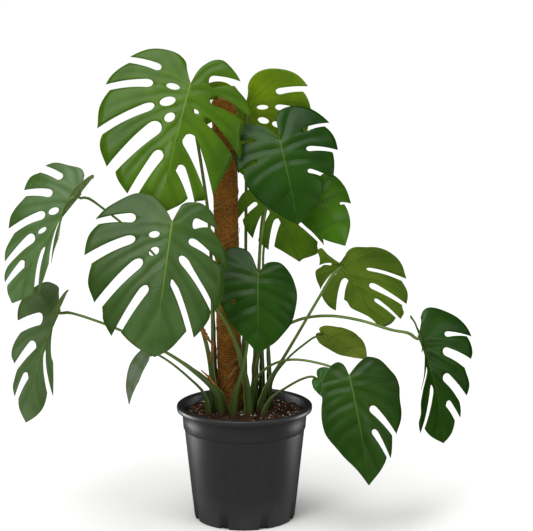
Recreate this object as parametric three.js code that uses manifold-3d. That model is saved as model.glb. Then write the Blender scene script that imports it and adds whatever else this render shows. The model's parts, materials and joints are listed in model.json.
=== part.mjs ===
// Potted swiss cheese plant: a nursery pot of soil, a coir pole, and fifteen leaves on their petioles.
// Millimetres, +Z up. The origin is the middle of the pot's flat base, where it stands; the front is -Y.

import * as THREE from 'three';
import { mergeVertices } from 'three/addons/utils/BufferGeometryUtils.js';
import Module from 'manifold-3d';

const wasm = await Module();
wasm.setup();

// Driving dimensions
const CLEARANCE = 0.35;
const FOOT_GAP = 0.8;
const POT = {
  rimRadius: 127, height: 216, baseRadius: 95, wall: 2.2, floor: 3, lipHeight: 10, lipWall: 2.6,
  bandTopRadius: 117, bandBottomRadius: 115, bandBottom: 172, stepIn: 2.2, footChamfer: 3,
  notches: 8, notchWidth: 17, notchHeight: 7, notchDepth: 9, segments: 44,
};
const SOIL = { edgeHeight: 199, crown: 6, lump: 1.8, rings: 4, segments: 36 };
const POLE = {
  foot: [-24, 0, 40], top: [-36, 0, 786], soilEntry: 195, radius: 22.5, coreRadius: 11, coreAbove: 5, sides: 20,
};
const TWINE = { turns: 6, stepsPerTurn: 12, thickness: 1.5, from: 0.22, to: 0.97 };
const ROOT = { radius: 1.8, standOff: 1, buried: 24, sides: 6, steps: 16 };
const BLADE = { thickness: 1.1, columns: 2, basalColumns: 3 };
const PETIOLE = { sides: 7, buried: 34, steps: 13, tipRadius: 2.6, seatGap: 0.6 };
const SOIL_TOP = SOIL.edgeHeight + SOIL.crown;

// Colours and finishes
const finish = (color, roughness) => new THREE.MeshStandardMaterial({ color, roughness, metalness: 0 });
const FINISH = {
  pot: finish(0x1b1c1d, 0.42),
  soil: finish(0x3a2820, 0.95),
  coir: finish(0x8a4a22, 0.95),
  core: finish(0xa98a62, 0.8),
  twine: finish(0xb08a58, 0.9),
  root: finish(0xa88a60, 0.85),
  petiole: finish(0x4f8a35, 0.5),
};

// Leaves. Margins run from the attachment round the basal lobe to the tip, as [across, along] in
// hundredths of the blade's length. A cut is [station on the midrib, place on the margin in points,
// where the split starts along its vein, its width, its mouth, and a hole's start, end and width];
// only the first two make a plain vein. Folds and curls are in degrees, left then right.
const LEAVES = [
  {
    name: 'leaf_01', colour: 0x4f9a2c, base: [-94, -45, 817], tip: [-147, -112, 592], faces: [-6, 22],
    arch: 0.05, fold: [4, -10], curl: [14, 30],
    left: {
      margin: [[5, -9], [9, -17], [17, -22], [29, -23], [40, -20], [50, -11], [59, 3], [62, 14], [63, 31],
        [59, 46], [56, 60], [46, 73], [38, 81], [26, 90], [13, 96]],
      cuts: [[3, 6.1, 48, 6, 7], [6, 8.1, 44, 7, 6, 11, 28, 5], [12, 10.3, 38, 7, 7, 13, 32, 7],
        [21, 12.4, 33, 12, 8, 13, 27, 7], [40, 14.2, 36, 9, 6]],
    },
    right: {
      margin: [[2, -10], [6, -18], [12, -23], [19, -24], [27, -19], [33, -13], [37, -5], [44, 2], [49, 10],
        [49, 20], [46, 30], [49, 40], [46, 52], [41, 62], [37, 72], [33, 82], [24, 85], [14, 91]],
      cuts: [[2, 6.5, 36, 11, 5], [8, 9.7, 34, 9, 6], [17, 12.6, 34, 5, 4, 14, 24, 3],
        [33, 15.8, 18, 12, 6], [56, 17.3, 28, 8, 4]],
    },
    petiole: { foot: [-57, 14], radius: [6, 3], via: [[-58, 11, 300], [-60, 4, 450], [-65, -4, 570],
      [-77, -12, 665], [-92, -20, 765]] },
  },
  {
    name: 'leaf_02', colour: 0x2f7a2a, base: [-123, -150, 584], tip: [-152, -215, 357], faces: [0, 20],
    arch: 0.05, fold: [-4, -12], curl: [18, 32],
    left: {
      margin: [[4, -6], [9, -12], [15, -17], [23, -19], [32, -18], [46, -9], [52, -3], [57, 6], [62, 17],
        [62, 30], [59, 41], [57, 53], [50, 64], [44, 73], [41, 79], [33, 88], [24, 91], [12, 96]],
      cuts: [[3, 8.0, 48, 8, 6], [9, 10.5, 42, 7, 9, 13, 26, 5], [16, 13.4, 38, 8, 8, 15, 28, 6],
        [33, 16.2, 37, 7, 5]],
    },
    right: {
      margin: [[3, -9], [6, -15], [12, -17], [20, -17], [29, -11], [33, 0], [39, 9], [44, 18], [47, 35],
        [46, 49], [41, 61], [38, 69], [31, 78], [26, 82], [20, 84], [10, 94]],
      cuts: [[2, 6.1, 45, 10, 1], [8, 8.8, 30, 7, 1], [18, 11.2, 22, 7, 4], [36, 14.2, 20, 5, 4]],
    },
    petiole: { foot: [10, -35], radius: [7, 3], via: [[5, -31, 262], [-16, -40, 345], [-52, -78, 425],
      [-90, -105, 500], [-116, -122, 558]] },
  },
  {
    name: 'leaf_03', colour: 0x4a7a4a, base: [-292, -70, 623], tip: [-415, -95, 428], faces: [-36, 20],
    arch: 0.06, fold: [14, 62], tipFold: [10, 4], curl: [22, 22],
    left: {
      margin: [[4, -6], [9, -13], [15, -16], [25, -13], [36, -9], [41, -2], [44, 5], [47, 12], [45, 22],
        [40, 29], [39, 38], [38, 46], [33, 55], [30, 62], [28, 70], [23, 78], [18, 86], [13, 91], [7, 96]],
      cuts: [[2, 6.4, 52, 6, 8], [8, 9.4, 45, 7, 7], [15, 13.0, 42, 8, 5, 16, 36, 6],
        [28, 16.0, 45, 9, 5, 22, 38, 4], [50, 18.0, 50, 7, 5]],
    },
    right: {
      margin: [[5, -10], [11, -16], [18, -18], [26, -13], [32, -5], [36, 6], [38, 18], [39, 32], [36, 44],
        [34, 56], [31, 66], [26, 76], [22, 84], [8, 94]],
      cuts: [[2, 6.4, 40, 5, 4], [7, 8.2, 30, 7, 5], [17, 10.0, 24, 8, 6], [38, 13.0, 30, 9, 6]],
    },
    petiole: { foot: [-60, -12], radius: [7, 2.4], via: [[-61, -12, 280], [-82, -16, 372], [-133, -24, 465],
      [-195, -34, 540], [-250, -48, 590], [-282, -58, 614]] },
  },
  {
    name: 'leaf_04', colour: 0x32702f, base: [-335, -60, 409], tip: [-398, -82, 203], faces: [-33, 18],
    arch: 0.06, fold: [12, 64], tipFold: [8, 0], curl: [20, 22],
    left: {
      margin: [[6, -9], [11, -16], [17, -18], [25, -17], [33, -9], [38, 0], [39, 10], [36, 18], [31, 25],
        [31, 40], [28, 50], [22, 56], [20, 69], [19, 76], [15, 84], [9, 92]],
      cuts: [[8, 8.9, 38, 11, 12], [17, 12.2, 46, 9, 9], [36, 15.0, 56, 7, 5]],
    },
    right: {
      margin: [[5, -12], [10, -18], [17, -18], [25, -12], [31, -2], [35, 10], [36, 24], [36, 38], [35, 52],
        [33, 62], [28, 73], [20, 83], [9, 93]],
      cuts: [[5, 6.2, 45, 5, 4], [14, 8.1, 30, 6, 5, 12, 22, 3], [29, 10.6, 22, 9, 7]],
    },
    petiole: { foot: [-42, -31], radius: [9, 2.4], via: [[-52, -36, 248], [-92, -46, 290], [-150, -54, 332],
      [-230, -58, 372], [-300, -58, 398], [-322, -54, 402]] },
  },
  {
    name: 'leaf_05', colour: 0x6fae34, base: [5, 35, 781], tip: [28, 90, 620], faces: [176, 24],
    arch: 0.05, fold: [-3, -8], curl: [10, 16],
    left: {
      margin: [[3, -10], [5, -20], [10, -29], [19, -36], [32, -39], [48, -36], [59, -28], [66, -13], [68, 5],
        [67, 22], [62, 38], [54, 52], [42, 68], [26, 82], [12, 92]],
      cuts: [[4, 8.1, 50, 9, 6], [11, 9.9, 44, 8, 6, 14, 33, 6], [23, 11.8, 42, 8, 6, 15, 36, 8],
        [44, 13.6, 42, 7, 5]],
    },
    right: {
      margin: [[4, -6], [10, -18], [20, -28], [34, -30], [46, -22], [52, -8], [54, 8], [52, 26], [48, 44],
        [40, 60], [30, 74], [16, 88]],
      cuts: [[6, 6.1, 42, 7, 5], [18, 8.0, 42, 8, 5], [36, 9.8, 42, 8, 5]],
    },
    petiole: { foot: [0, 38], radius: [6, 2.8], via: [[0, 40, 300], [2, 45, 450], [3, 49, 570],
      [4, 43, 680], [4, 28, 756]] },
  },
  {
    name: 'leaf_06', colour: 0x215f28, base: [65, -46, 717], tip: [98, -90, 570], faces: [2, 18],
    arch: 0.06, fold: [2, -4], curl: [20, 20],
    left: {
      margin: [[6, -11], [16, -21], [30, -27], [44, -25], [52, -14], [55, 0], [55, 16], [53, 32], [47, 50],
        [37, 67], [23, 82], [10, 94]],
      cuts: [[4, 5.6, 52, 5, 3], [16, 7.8, 60, 3, 1], [34, 9.6]],
    },
    right: {
      margin: [[1, -8], [1, -18], [3, -30], [12, -37], [28, -38], [44, -31], [57, -16], [64, 2], [64, 20],
        [58, 38], [50, 55], [38, 71], [22, 86]],
      cuts: [[6, 7.4, 48, 6, 4], [18, 9.3, 44, 7, 4], [36, 11.1, 48, 6, 4]],
    },
    petiole: { foot: [20, 47], radius: [6, 2.8], via: [[22, 53, 300], [26, 66, 400], [28, 75, 480],
      [34, 80, 560], [52, 58, 652], [65, 4, 700]] },
  },
  {
    name: 'leaf_07', colour: 0x24622a, base: [134, -18, 626], tip: [184, -46, 524], faces: [14, 20],
    arch: 0.06, fold: [-6, -8], curl: [20, 20],
    left: {
      margin: [[8, -10], [20, -16], [36, -12], [46, 2], [50, 18], [48, 36], [41, 56], [27, 78]],
      cuts: [[12, 4.0], [34, 6.2]],
    },
    right: {
      margin: [[8, -12], [22, -18], [36, -12], [44, 2], [46, 18], [42, 36], [34, 56], [22, 76]],
      cuts: [[12, 4.4], [34, 6.4, 56, 5, 4]],
    },
    petiole: { foot: [48, 26], radius: [5, 2.4], via: [[46, 30, 290], [40, 36, 380], [35, 40, 450],
      [39, 48, 520], [68, 60, 578], [110, 32, 612]] },
  },
  {
    name: 'leaf_08', colour: 0x6aa832, base: [48, 12, 614], tip: [103, 44, 479], faces: [177, 16],
    arch: 0.05, fold: [-6, -6], curl: [14, 16],
    left: {
      margin: [[8, -8], [18, -18], [32, -16], [42, -2], [46, 14], [46, 32], [44, 50], [41, 68], [38, 82],
        [31, 91], [28, 97], [16, 98], [6, 98]],
      cuts: [[6, 4.8, 46, 6, 4], [26, 9.3, 50, 6, 5]],
    },
    right: {
      margin: [[10, -10], [24, -16], [38, -8], [46, 6], [48, 20], [47, 34], [43, 48], [38, 58], [33, 66],
        [26, 74], [17, 80], [8, 90]],
      cuts: [[4, 4.9, 42, 7, 6], [14, 7.4, 28, 9, 8], [34, 9.8, 14, 10, 7]],
    },
    petiole: { foot: [34, 38], radius: [6, 2.6], via: [[33, 30, 300], [29, 6, 400], [27, -10, 480],
      [34, -12, 548], [43, -8, 596]] },
  },
  {
    name: 'leaf_09', colour: 0x2a6a2c, base: [26, -75, 481], tip: [26, -112, 339], faces: [0, 15],
    arch: 0.06, fold: [-4, -6], curl: [16, 20],
    left: {
      margin: [[6, -17], [12, -26], [22, -31], [36, -31], [46, -22], [52, -6], [54, 12], [51, 28], [46, 40],
        [37, 59], [26, 72], [12, 87]],
      cuts: [[4, 5.4], [14, 7.2], [30, 9.2, 85, 0, 0, 62, 72, 5], [52, 10.9]],
    },
    right: {
      margin: [[3, -2], [7, -9], [17, -13], [29, -11], [40, 1], [46, 14], [49, 28], [47, 45], [42, 62],
        [34, 73], [22, 86], [10, 94]],
      cuts: [[4, 5.2], [14, 7.0], [30, 8.8], [52, 10.6]],
    },
    petiole: { foot: [-20, -46], radius: [7, 2.8], via: [[-13, -52, 258], [0, -60, 306], [14, -48, 400],
      [25, -48, 456]] },
  },
  {
    name: 'leaf_10', colour: 0x5f9a30, base: [175, -15, 487], tip: [255, 12, 359], faces: [177, 10],
    arch: 0.05, fold: [-6, -6], curl: [14, 14],
    left: {
      margin: [[3, -1], [9, -4], [17, -10], [27, -11], [40, -4], [50, 2], [59, 12], [64, 25], [64, 38],
        [59, 52], [56, 64], [53, 74], [47, 82], [38, 89], [35, 95], [25, 99], [13, 101]],
      cuts: [[8, 10.4, 42, 5, 6], [24, 13.6, 40, 9, 4], [42, 15.9, 46, 6, 3]],
    },
    right: {
      margin: [[3, -10], [5, -20], [6, -31], [12, -31], [15, -20], [22, -10], [30, -8], [34, 4], [35, 15],
        [41, 25], [40, 40], [34, 49], [23, 54], [20, 62], [12, 72], [5, 83]],
      cuts: [[4, 5.8, 40, 4, 3], [8, 9.2, 24, 5, 4], [20, 12.4, 12, 9, 10]],
    },
    petiole: { foot: [30, -10], radius: [7.5, 3.1], via: [[42, -15, 254], [67, -20, 300], [98, -22, 354],
      [136, -26, 422], [164, -30, 470]] },
  },
  {
    name: 'leaf_11', colour: 0x255f2b, base: [319, -60, 361], tip: [365, -86, 165], faces: [34, 18],
    arch: 0.06, fold: [62, 12], tipFold: [4, 8], curl: [22, 22],
    left: {
      margin: [[5, -9], [10, -17], [17, -20], [25, -14], [31, -4], [34, 8], [34, 20], [33, 31], [36, 42],
        [40, 54], [36, 64], [36, 72], [29, 82], [20, 88], [10, 94]],
      cuts: [[8, 6.4, 40, 5, 4], [20, 9.2, 44, 7, 5], [38, 13.1, 22, 10, 6]],
    },
    right: {
      margin: [[6, -8], [11, -14], [15, -19], [21, -21], [30, -18], [42, -9], [48, -1], [51, 8], [51, 18],
        [48, 29], [42, 36], [38, 46], [36, 56], [30, 65], [24, 74], [19, 84], [10, 94]],
      cuts: [[5, 8.6, 50, 6, 1], [11, 11.1, 44, 8, 11], [27, 14.2, 42, 9, 8], [50, 16.0, 50, 7, 6]],
    },
    petiole: { foot: [20, 14], radius: [6, 2.7], via: [[22, 13, 285], [34, 12, 330], [72, 9, 361],
      [110, 3, 379], [160, -12, 387], [215, -30, 382], [270, -46, 368], [303, -50, 362]] },
  },
  {
    name: 'leaf_12', colour: 0x2c702a, base: [191, -95, 295], tip: [225, -152, 106], faces: [10, 18],
    arch: 0.06, fold: [-4, 0], curl: [22, 18],
    left: {
      margin: [[2, -9], [6, -13], [11, -13], [17, -9], [25, 0], [28, 9], [29, 18], [32, 29], [33, 40],
        [31, 51], [24, 63], [16, 75], [8, 86]],
      cuts: [[5, 5.4], [16, 7.6], [33, 9.8], [55, 11.6]],
    },
    right: {
      margin: [[3, -3], [9, -8], [15, -12], [21, -14], [31, -10], [38, -1], [43, 8], [44, 18], [42, 29],
        [41, 40], [38, 49], [32, 58], [28, 68], [25, 77], [21, 83], [13, 90], [6, 95]],
      cuts: [[3, 6.6], [10, 8.6], [17, 12.2, 42, 8, 5], [31, 14.6, 50, 6, 4]],
    },
    petiole: { foot: [14, -12], radius: [6, 2.4], via: [[22, -20, 268], [50, -38, 300], [86, -50, 313],
      [130, -62, 311], [170, -72, 300]] },
  },
  {
    name: 'leaf_13', colour: 0x6f8f3a, base: [143, 22, 348], tip: [232, 56, 288], faces: [186, 44],
    arch: 0.05, fold: [-4, -4], curl: [16, 16],
    left: {
      margin: [[6, -8], [16, -12], [28, -6], [38, 10], [42, 30], [40, 50], [30, 70], [14, 88]],
      cuts: [[10, 3.8], [38, 6.0]],
    },
    right: {
      margin: [[3, -4], [8, -4], [15, 4], [21, 16], [25, 30], [26, 46], [24, 62], [14, 82]],
      cuts: [[10, 3.8], [38, 6.0]],
    },
    petiole: { foot: [46, 6], radius: [4.5, 2.2], via: [[53, 8, 262], [80, 10, 300], [112, 12, 328],
      [134, 14, 342]] },
  },
  {
    name: 'leaf_14', colour: 0x4a8038, base: [-181, -14, 318], tip: [-214, -22, 221], faces: [-72, 12],
    arch: 0.08, fold: [10, 10], curl: [24, 24],
    left: {
      margin: [[6, -8], [16, -12], [28, -6], [36, 10], [38, 28], [36, 48], [28, 68], [14, 86]],
      cuts: [[10, 3.8], [38, 6.0]],
    },
    right: {
      margin: [[6, -8], [16, -12], [28, -6], [36, 10], [38, 28], [36, 48], [28, 68], [14, 86]],
      cuts: [[10, 3.8], [38, 6.0]],
    },
    petiole: { foot: [-68, -36], radius: [4.5, 2.2], via: [[-74, -36, 244], [-104, -32, 276],
      [-146, -24, 308], [-172, -16, 319]] },
  },
  {
    name: 'leaf_15', colour: 0x2e6a2c, base: [136, -42, 277], tip: [200, -58, 226], faces: [8, 24],
    arch: 0.05, fold: [-4, -4], curl: [16, 16],
    left: {
      margin: [[4, -5], [10, -7], [18, -2], [25, 10], [28, 28], [27, 48], [21, 68], [10, 87]],
      cuts: [[10, 3.8], [38, 6.0]],
    },
    right: {
      margin: [[6, -8], [16, -12], [28, -6], [36, 10], [38, 30], [34, 50], [26, 70], [12, 88]],
      cuts: [[10, 3.8], [38, 6.0]],
    },
    petiole: { foot: [38, -36], radius: [6.5, 2.4], via: [[50, -37, 236], [78, -36, 257], [108, -34, 273],
      [126, -34, 277]] },
  },
];

// Aerial roots lie across the pole's foot: [degrees round the pole, height] from the top down to the soil
const AERIAL_ROOTS = [
  { name: 'aerial_root_1', wrap: [[-8, 316], [-42, 297], [-88, 272], [-130, 246], [-152, 222]] },
  { name: 'aerial_root_2', wrap: [[-4, 290], [-40, 272], [-72, 252], [-96, 228]] },
];

// Rows along a vein from the midrib: the hole's start, middle and end, the split's start, and the lobe
const ROWS = [0, 0.12, 0.2, 0.28, 0.42, 0.52, 0.76, 1];
const PLAIN_ROWS = [0, 0.28, 0.42, 0.6, 0.8, 1];
const SPLIT_ROW = 0.42;
const CLOSED_START = 0.55;
const VEIN_BEND = 0.15;
const SHOULDER = 0.16;
const HOOK = 0.05;
const LOBE_DROOP = 0.05;
const LOBE_CUP = 0.012;

const radians = THREE.MathUtils.degToRad;
const lerp = THREE.MathUtils.lerp;
const clamp = THREE.MathUtils.clamp;
const mix2 = (a, b, t) => [lerp(a[0], b[0], t), lerp(a[1], b[1], t)];
const add2 = (a, b, k = 1) => [a[0] + b[0] * k, a[1] + b[1] * k];
const sub2 = (a, b) => [a[0] - b[0], a[1] - b[1]];
const unit2 = (a) => {
  const length = Math.hypot(a[0], a[1]) || 1;
  return [a[0] / length, a[1] / length];
};

// A repeatable number from 0 to 1 for each lobe
function chance(seed) {
  const value = Math.sin(seed * 12.9898 + 4.137) * 43758.5453;
  return value - Math.floor(value);
}

// A point on the smooth margin through the given points
function marginPoint(points, place) {
  const last = points.length - 1;
  const at = clamp(place, 0, last - 1e-6);
  const i = Math.floor(at);
  const t = at - i;
  const [a, b, c, d] = [points[Math.max(i - 1, 0)], points[i], points[i + 1], points[Math.min(i + 2, last)]];
  return [0, 1].map((k) => 0.5 * (2 * b[k] + (c[k] - a[k]) * t
    + (2 * a[k] - 5 * b[k] + 4 * c[k] - d[k]) * t * t + (3 * b[k] - a[k] - 3 * c[k] + d[k]) * t ** 3));
}

// The veins of one half of a blade that bound its lobes: the sinus edge, each cut, and the tip
function halfVeins(half) {
  const points = [[0, 0], ...half.margin.map(([u, v]) => [u / 100, v / 100]), [0, 1]];
  const last = points.length - 1;
  const sinusEnd = Math.min(2, half.cuts[0][1] - 1);
  const veins = [{ kind: 'sinus', at: 0, before: sinusEnd, after: sinusEnd, marks: [0, 0.1, 0.2, 0.3, 0.5] }];
  for (const [station, place, start = 100 * CLOSED_START, width = 0, mouth = 0, ...hole] of half.cuts) {
    const at = station / 100;
    const end = marginPoint(points, place);
    const pace = Math.hypot(...sub2(marginPoint(points, place + 0.1), marginPoint(points, place - 0.1))) / 0.2;
    const shift = mouth / 200 / pace;
    const split = start / 100;
    const [from, to] = hole.length ? [hole[0] / 100, hole[1] / 100] : [split * 0.4, split * 0.7];
    const bend = Math.hypot(end[0], end[1] - at) * VEIN_BEND;
    const control = [end[0] / 2, (at + end[1]) / 2 - bend];
    const outward = unit2(sub2(end, control));
    veins.push({
      kind: 'cut', at, end, control, split, width: width / 100, hole: [from, to, (hole[2] || 0) / 100],
      open: width > 0, before: place - shift, after: place + shift, outward,
      marks: [0, from, (from + to) / 2, to, split],
    });
  }
  veins.push({ kind: 'tip', at: 1, before: last, after: last, marks: [0, 0.1, 0.2, 0.3, 0.5] });
  return { points, veins };
}

// How far along a vein a row lies
function alongVein(vein, row) {
  const places = [0, 0.12, 0.2, 0.28, SPLIT_ROW];
  const marks = vein.marks;
  for (let k = 1; k < places.length; k += 1) {
    if (row <= places[k]) {
      return lerp(marks[k - 1], marks[k], (row - places[k - 1]) / (places[k] - places[k - 1]));
    }
  }
  return lerp(marks[4], 1, (row - SPLIT_ROW) / (1 - SPLIT_ROW));
}

// A point on one side of a vein: +1 is the side towards the tip, which starts the next lobe
function veinPoint(half, vein, row, side, corner) {
  const s = alongVein(vein, row);
  if (vein.kind === 'sinus') {
    return marginPoint(half.points, s * vein.after);
  }
  if (vein.kind === 'tip') {
    return [0, 1];
  }
  const start = [0, vein.at];
  const p = mix2(mix2(start, vein.control, s), mix2(vein.control, vein.end, s), s);
  const along = unit2(sub2(mix2(vein.control, vein.end, s), mix2(start, vein.control, s)));
  const across = [-along[1], along[0]];
  const towardsTip = across[1] >= 0 ? across : [-across[0], -across[1]];
  const [from, to, holeWidth] = vein.hole;
  let offset = 0;
  if (holeWidth > 0 && s > from && s < to) {
    const reach = (2 * s - from - to) / (to - from);
    offset = holeWidth / 2 * Math.sqrt(1 - reach * reach);
  }
  if (!vein.open || s <= vein.split) {
    return add2(p, towardsTip, side * offset);
  }
  const x = (s - vein.split) / (1 - vein.split);
  const rise = Math.sqrt(1 - (1 - Math.min(1, x / 0.17)) ** 2);
  return add2(add2(p, towardsTip, side * vein.width / 2 * rise * (1 - x)), sub2(corner, vein.end), x);
}

// Where a lobe meets the margin: its corner towards the tip hooks out, the one towards the base is rounded
function lobeCorners(half, first, second) {
  const a = marginPoint(half.points, first.after);
  const b = marginPoint(half.points, second.before);
  const breadth = Math.hypot(...sub2(a, b));
  return [
    first.open ? add2(a, first.outward, -SHOULDER * breadth) : a,
    second.open ? add2(b, second.outward, HOOK * breadth) : b,
  ];
}

// A lobe's point in the flat blade: t goes from its side towards the base to that towards the tip
function lobePoint(half, j, t, row) {
  const [first, second] = [half.veins[j], half.veins[j + 1]];
  const [cornerA, cornerB] = lobeCorners(half, first, second);
  const place = lerp(first.after, second.before, t);
  const outer = (k) => {
    const p = marginPoint(half.points, lerp(first.after, second.before, k));
    const a = add2(p, sub2(cornerA, marginPoint(half.points, first.after)), (1 - k) ** 3);
    return add2(a, sub2(cornerB, marginPoint(half.points, second.before)), k ** 4);
  };
  const inner = (k) => [0, lerp(first.at, second.at, k)];
  const sideA = veinPoint(half, first, row, 1, cornerA);
  const sideB = veinPoint(half, second, row, -1, cornerB);
  const along = mix2(inner(t), outer(t), row);
  const across = mix2(sideA, sideB, t);
  const corners = mix2(mix2(inner(0), outer(0), row), mix2(inner(1), outer(1), row), t);
  return [along[0] + across[0] - corners[0], along[1] + across[1] - corners[1]];
}

// The blade's own directions: d to the tip, n out of its upper face, r to its right
function leafFrame(leaf) {
  const base = new THREE.Vector3(...leaf.base);
  const d = new THREE.Vector3(...leaf.tip).sub(base);
  const length = d.length();
  d.normalize();
  const [azimuth, elevation] = leaf.faces.map(radians);
  const n = new THREE.Vector3(Math.sin(azimuth) * Math.cos(elevation), -Math.cos(azimuth) * Math.cos(elevation),
    Math.sin(elevation));
  n.addScaledVector(d, -n.dot(d)).normalize();
  return { base, d, n, r: new THREE.Vector3().crossVectors(n, d), length };
}

// Bends a point of the flat blade into its place
function bladePoint(leaf, frame, side, [u, v], lift) {
  const k = side > 0 ? 1 : 0;
  const fold = radians(lerp(leaf.fold[k], (leaf.tipFold || leaf.fold)[k], clamp(v, 0, 1)));
  const curl = radians(leaf.curl[k]);
  const across = (Math.sin(fold) - Math.sin(fold - curl * u)) / curl;
  const rise = (Math.cos(fold - curl * u) - Math.cos(fold)) / curl;
  const arch = leaf.arch * 4 * v * (1 - v);
  return frame.base.clone()
    .addScaledVector(frame.d, v * frame.length)
    .addScaledVector(frame.r, side * across * frame.length)
    .addScaledVector(frame.n, (rise + arch + lift) * frame.length);
}

// How far a lobe stands off the plain bent blade: each of its two sides droops by its vein's own amount
function lobeLift(half, seed, j, t, row) {
  const droop = (vein, number, after) => (vein.kind === 'tip' ? 0
    : LOBE_DROOP * (chance(seed + 2 * number + (vein.open && after ? 1 : 0)) - 0.6));
  const past = clamp((row - SPLIT_ROW) / (1 - SPLIT_ROW), 0, 1);
  const drop = lerp(droop(half.veins[j], j, true), droop(half.veins[j + 1], j + 1, false), t) * past * past;
  const ends = half.veins[j + 1].kind === 'tip' && t > 0.5;
  return drop - (ends ? 0 : LOBE_CUP * (2 * t - 1) ** 2 * clamp(row / SPLIT_ROW, 0, 1));
}

// Merges points that meet and gives each a number
class Points {
  constructor() {
    this.list = [];
    this.numbers = new Map();
  }

  add(point) {
    const key = point.toArray().map((x) => Math.round(x * 500)).join();
    if (!this.numbers.has(key)) {
      this.numbers.set(key, this.list.length);
      this.list.push(point);
    }
    return this.numbers.get(key);
  }
}

// Thickens a sheet of triangles into a closed solid with both faces split alike
function thicken(points, faces, thickness) {
  const normals = points.map(() => new THREE.Vector3());
  const edges = new Map();
  for (const face of faces) {
    const [a, b, c] = face.map((i) => points[i]);
    const normal = b.clone().sub(a).cross(c.clone().sub(a));
    face.forEach((i, k) => {
      normals[i].add(normal);
      edges.set(`${i},${face[(k + 1) % 3]}`, [i, face[(k + 1) % 3]]);
    });
  }
  const count = points.length;
  const positions = [];
  for (const side of [0.5, -0.5]) {
    points.forEach((p, i) => {
      positions.push(...p.clone().addScaledVector(normals[i].normalize(), side * thickness).toArray());
    });
  }
  const index = [];
  for (const [a, b, c] of faces) {
    index.push(a, b, c, a + count, c + count, b + count);
  }
  for (const [a, b] of edges.values()) {
    if (!edges.has(`${b},${a}`)) {
      index.push(b, a, a + count, b, a + count, b + count);
    }
  }
  const geometry = new THREE.BufferGeometry();
  geometry.setAttribute('position', new THREE.Float32BufferAttribute(positions, 3));
  geometry.setIndex(index);
  return geometry;
}

// One leaf blade
function bladeGeometry(leaf, leafNumber) {
  const frame = leafFrame(leaf);
  const sheet = new Points();
  const faces = [];
  const face = (side, ...corners) => {
    if (new Set(corners).size === 3) {
      faces.push(side > 0 ? corners : corners.reverse());
    }
  };
  const holed = [leaf.left, leaf.right].some((half) => half.cuts.some((cut) => cut.length > 5));
  const rows = holed ? ROWS : PLAIN_ROWS;
  const stations = new Map();
  const sides = [[-1, leaf.left], [1, leaf.right]].map(([side, source]) => {
    const half = halfVeins(source);
    const columns = [];
    for (let j = 0; j + 1 < half.veins.length; j += 1) {
      const breadth = j === 0 ? BLADE.basalColumns : BLADE.columns;
      for (let k = 0; k <= breadth; k += 1) {
        const t = k / breadth;
        const station = lerp(half.veins[j].at, half.veins[j + 1].at, t);
        stations.set(station.toFixed(4), station);
        columns.push({
          j, k, station, numbers: rows.slice(1).map((row) => sheet.add(
            bladePoint(leaf, frame, side, lobePoint(half, j, t, row),
              lobeLift(half, 40 * leafNumber + 17 * side, j, t, row)))),
        });
      }
    }
    return { side, columns };
  });
  const midrib = [...stations.values()].sort((a, b) => a - b)
    .map((station) => ({ station, number: sheet.add(bladePoint(leaf, frame, 1, [0, station], 0)) }));
  for (const { side, columns } of sides) {
    for (let c = 0; c + 1 < columns.length; c += 1) {
      const [a, b] = [columns[c].numbers, columns[c + 1].numbers];
      if (columns[c].j === columns[c + 1].j) {
        for (let row = 0; row + 1 < a.length; row += 1) {
          face(side, a[row], b[row + 1], a[row + 1]);
          face(side, a[row], b[row], b[row + 1]);
        }
      }
    }
    const edge = columns.filter((column) => column.k > 0 || column.j === 0);
    let [m, e] = [0, 0];
    while (m + 1 < midrib.length || e + 1 < edge.length) {
      const nextMid = m + 1 < midrib.length ? midrib[m + 1].station : Infinity;
      const nextEdge = e + 1 < edge.length ? edge[e + 1].station : Infinity;
      if (nextMid <= nextEdge) {
        face(side, midrib[m].number, midrib[m + 1].number, edge[e].numbers[0]);
        m += 1;
      } else {
        face(side, midrib[m].number, edge[e + 1].numbers[0], edge[e].numbers[0]);
        e += 1;
      }
    }
  }
  return thicken(sheet.list, faces, BLADE.thickness);
}

// A closed tube through rings of points along a curve
function tubeGeometry(curve, steps, sides, radiusAt) {
  const frames = curve.computeFrenetFrames(steps, false);
  const positions = [];
  const index = [];
  for (let i = 0; i <= steps; i += 1) {
    const centre = curve.getPointAt(i / steps);
    const [across, up] = radiusAt(i / steps);
    for (let k = 0; k < sides; k += 1) {
      const angle = 2 * Math.PI * k / sides;
      positions.push(...centre.clone()
        .addScaledVector(frames.normals[i], across * Math.cos(angle))
        .addScaledVector(frames.binormals[i], up * Math.sin(angle)).toArray());
    }
  }
  for (let i = 0; i < steps; i += 1) {
    for (let k = 0; k < sides; k += 1) {
      const [a, b] = [i * sides + k, i * sides + (k + 1) % sides];
      index.push(a, b, b + sides, a, b + sides, a + sides);
    }
  }
  for (let k = 1; k + 1 < sides; k += 1) {
    const end = steps * sides;
    index.push(0, k + 1, k, end, end + k, end + k + 1);
  }
  const geometry = new THREE.BufferGeometry();
  geometry.setAttribute('position', new THREE.Float32BufferAttribute(positions, 3));
  geometry.setIndex(index);
  return geometry;
}

// A petiole: straight up out of the soil, along its bow, and in behind the blade
function petioleCurve(leaf) {
  const frame = leafFrame(leaf);
  const [x, y] = leaf.petiole.foot;
  const seat = bladePoint(leaf, frame, 1, [0, 0.03], 0);
  const slope = Math.max(0, -Math.min(...leaf.fold));
  const drop = BLADE.thickness / 2 + CLEARANCE + PETIOLE.tipRadius * Math.tan(radians(slope)) + PETIOLE.seatGap;
  return new THREE.CatmullRomCurve3([
    new THREE.Vector3(x, y, SOIL_TOP - PETIOLE.buried),
    new THREE.Vector3(x, y, SOIL_TOP + 4),
    ...leaf.petiole.via.map((p) => new THREE.Vector3(...p)),
    seat.clone().addScaledVector(frame.n, -drop - 9),
    seat.clone().addScaledVector(frame.n, -drop),
  ], false, 'centripetal');
}

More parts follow.
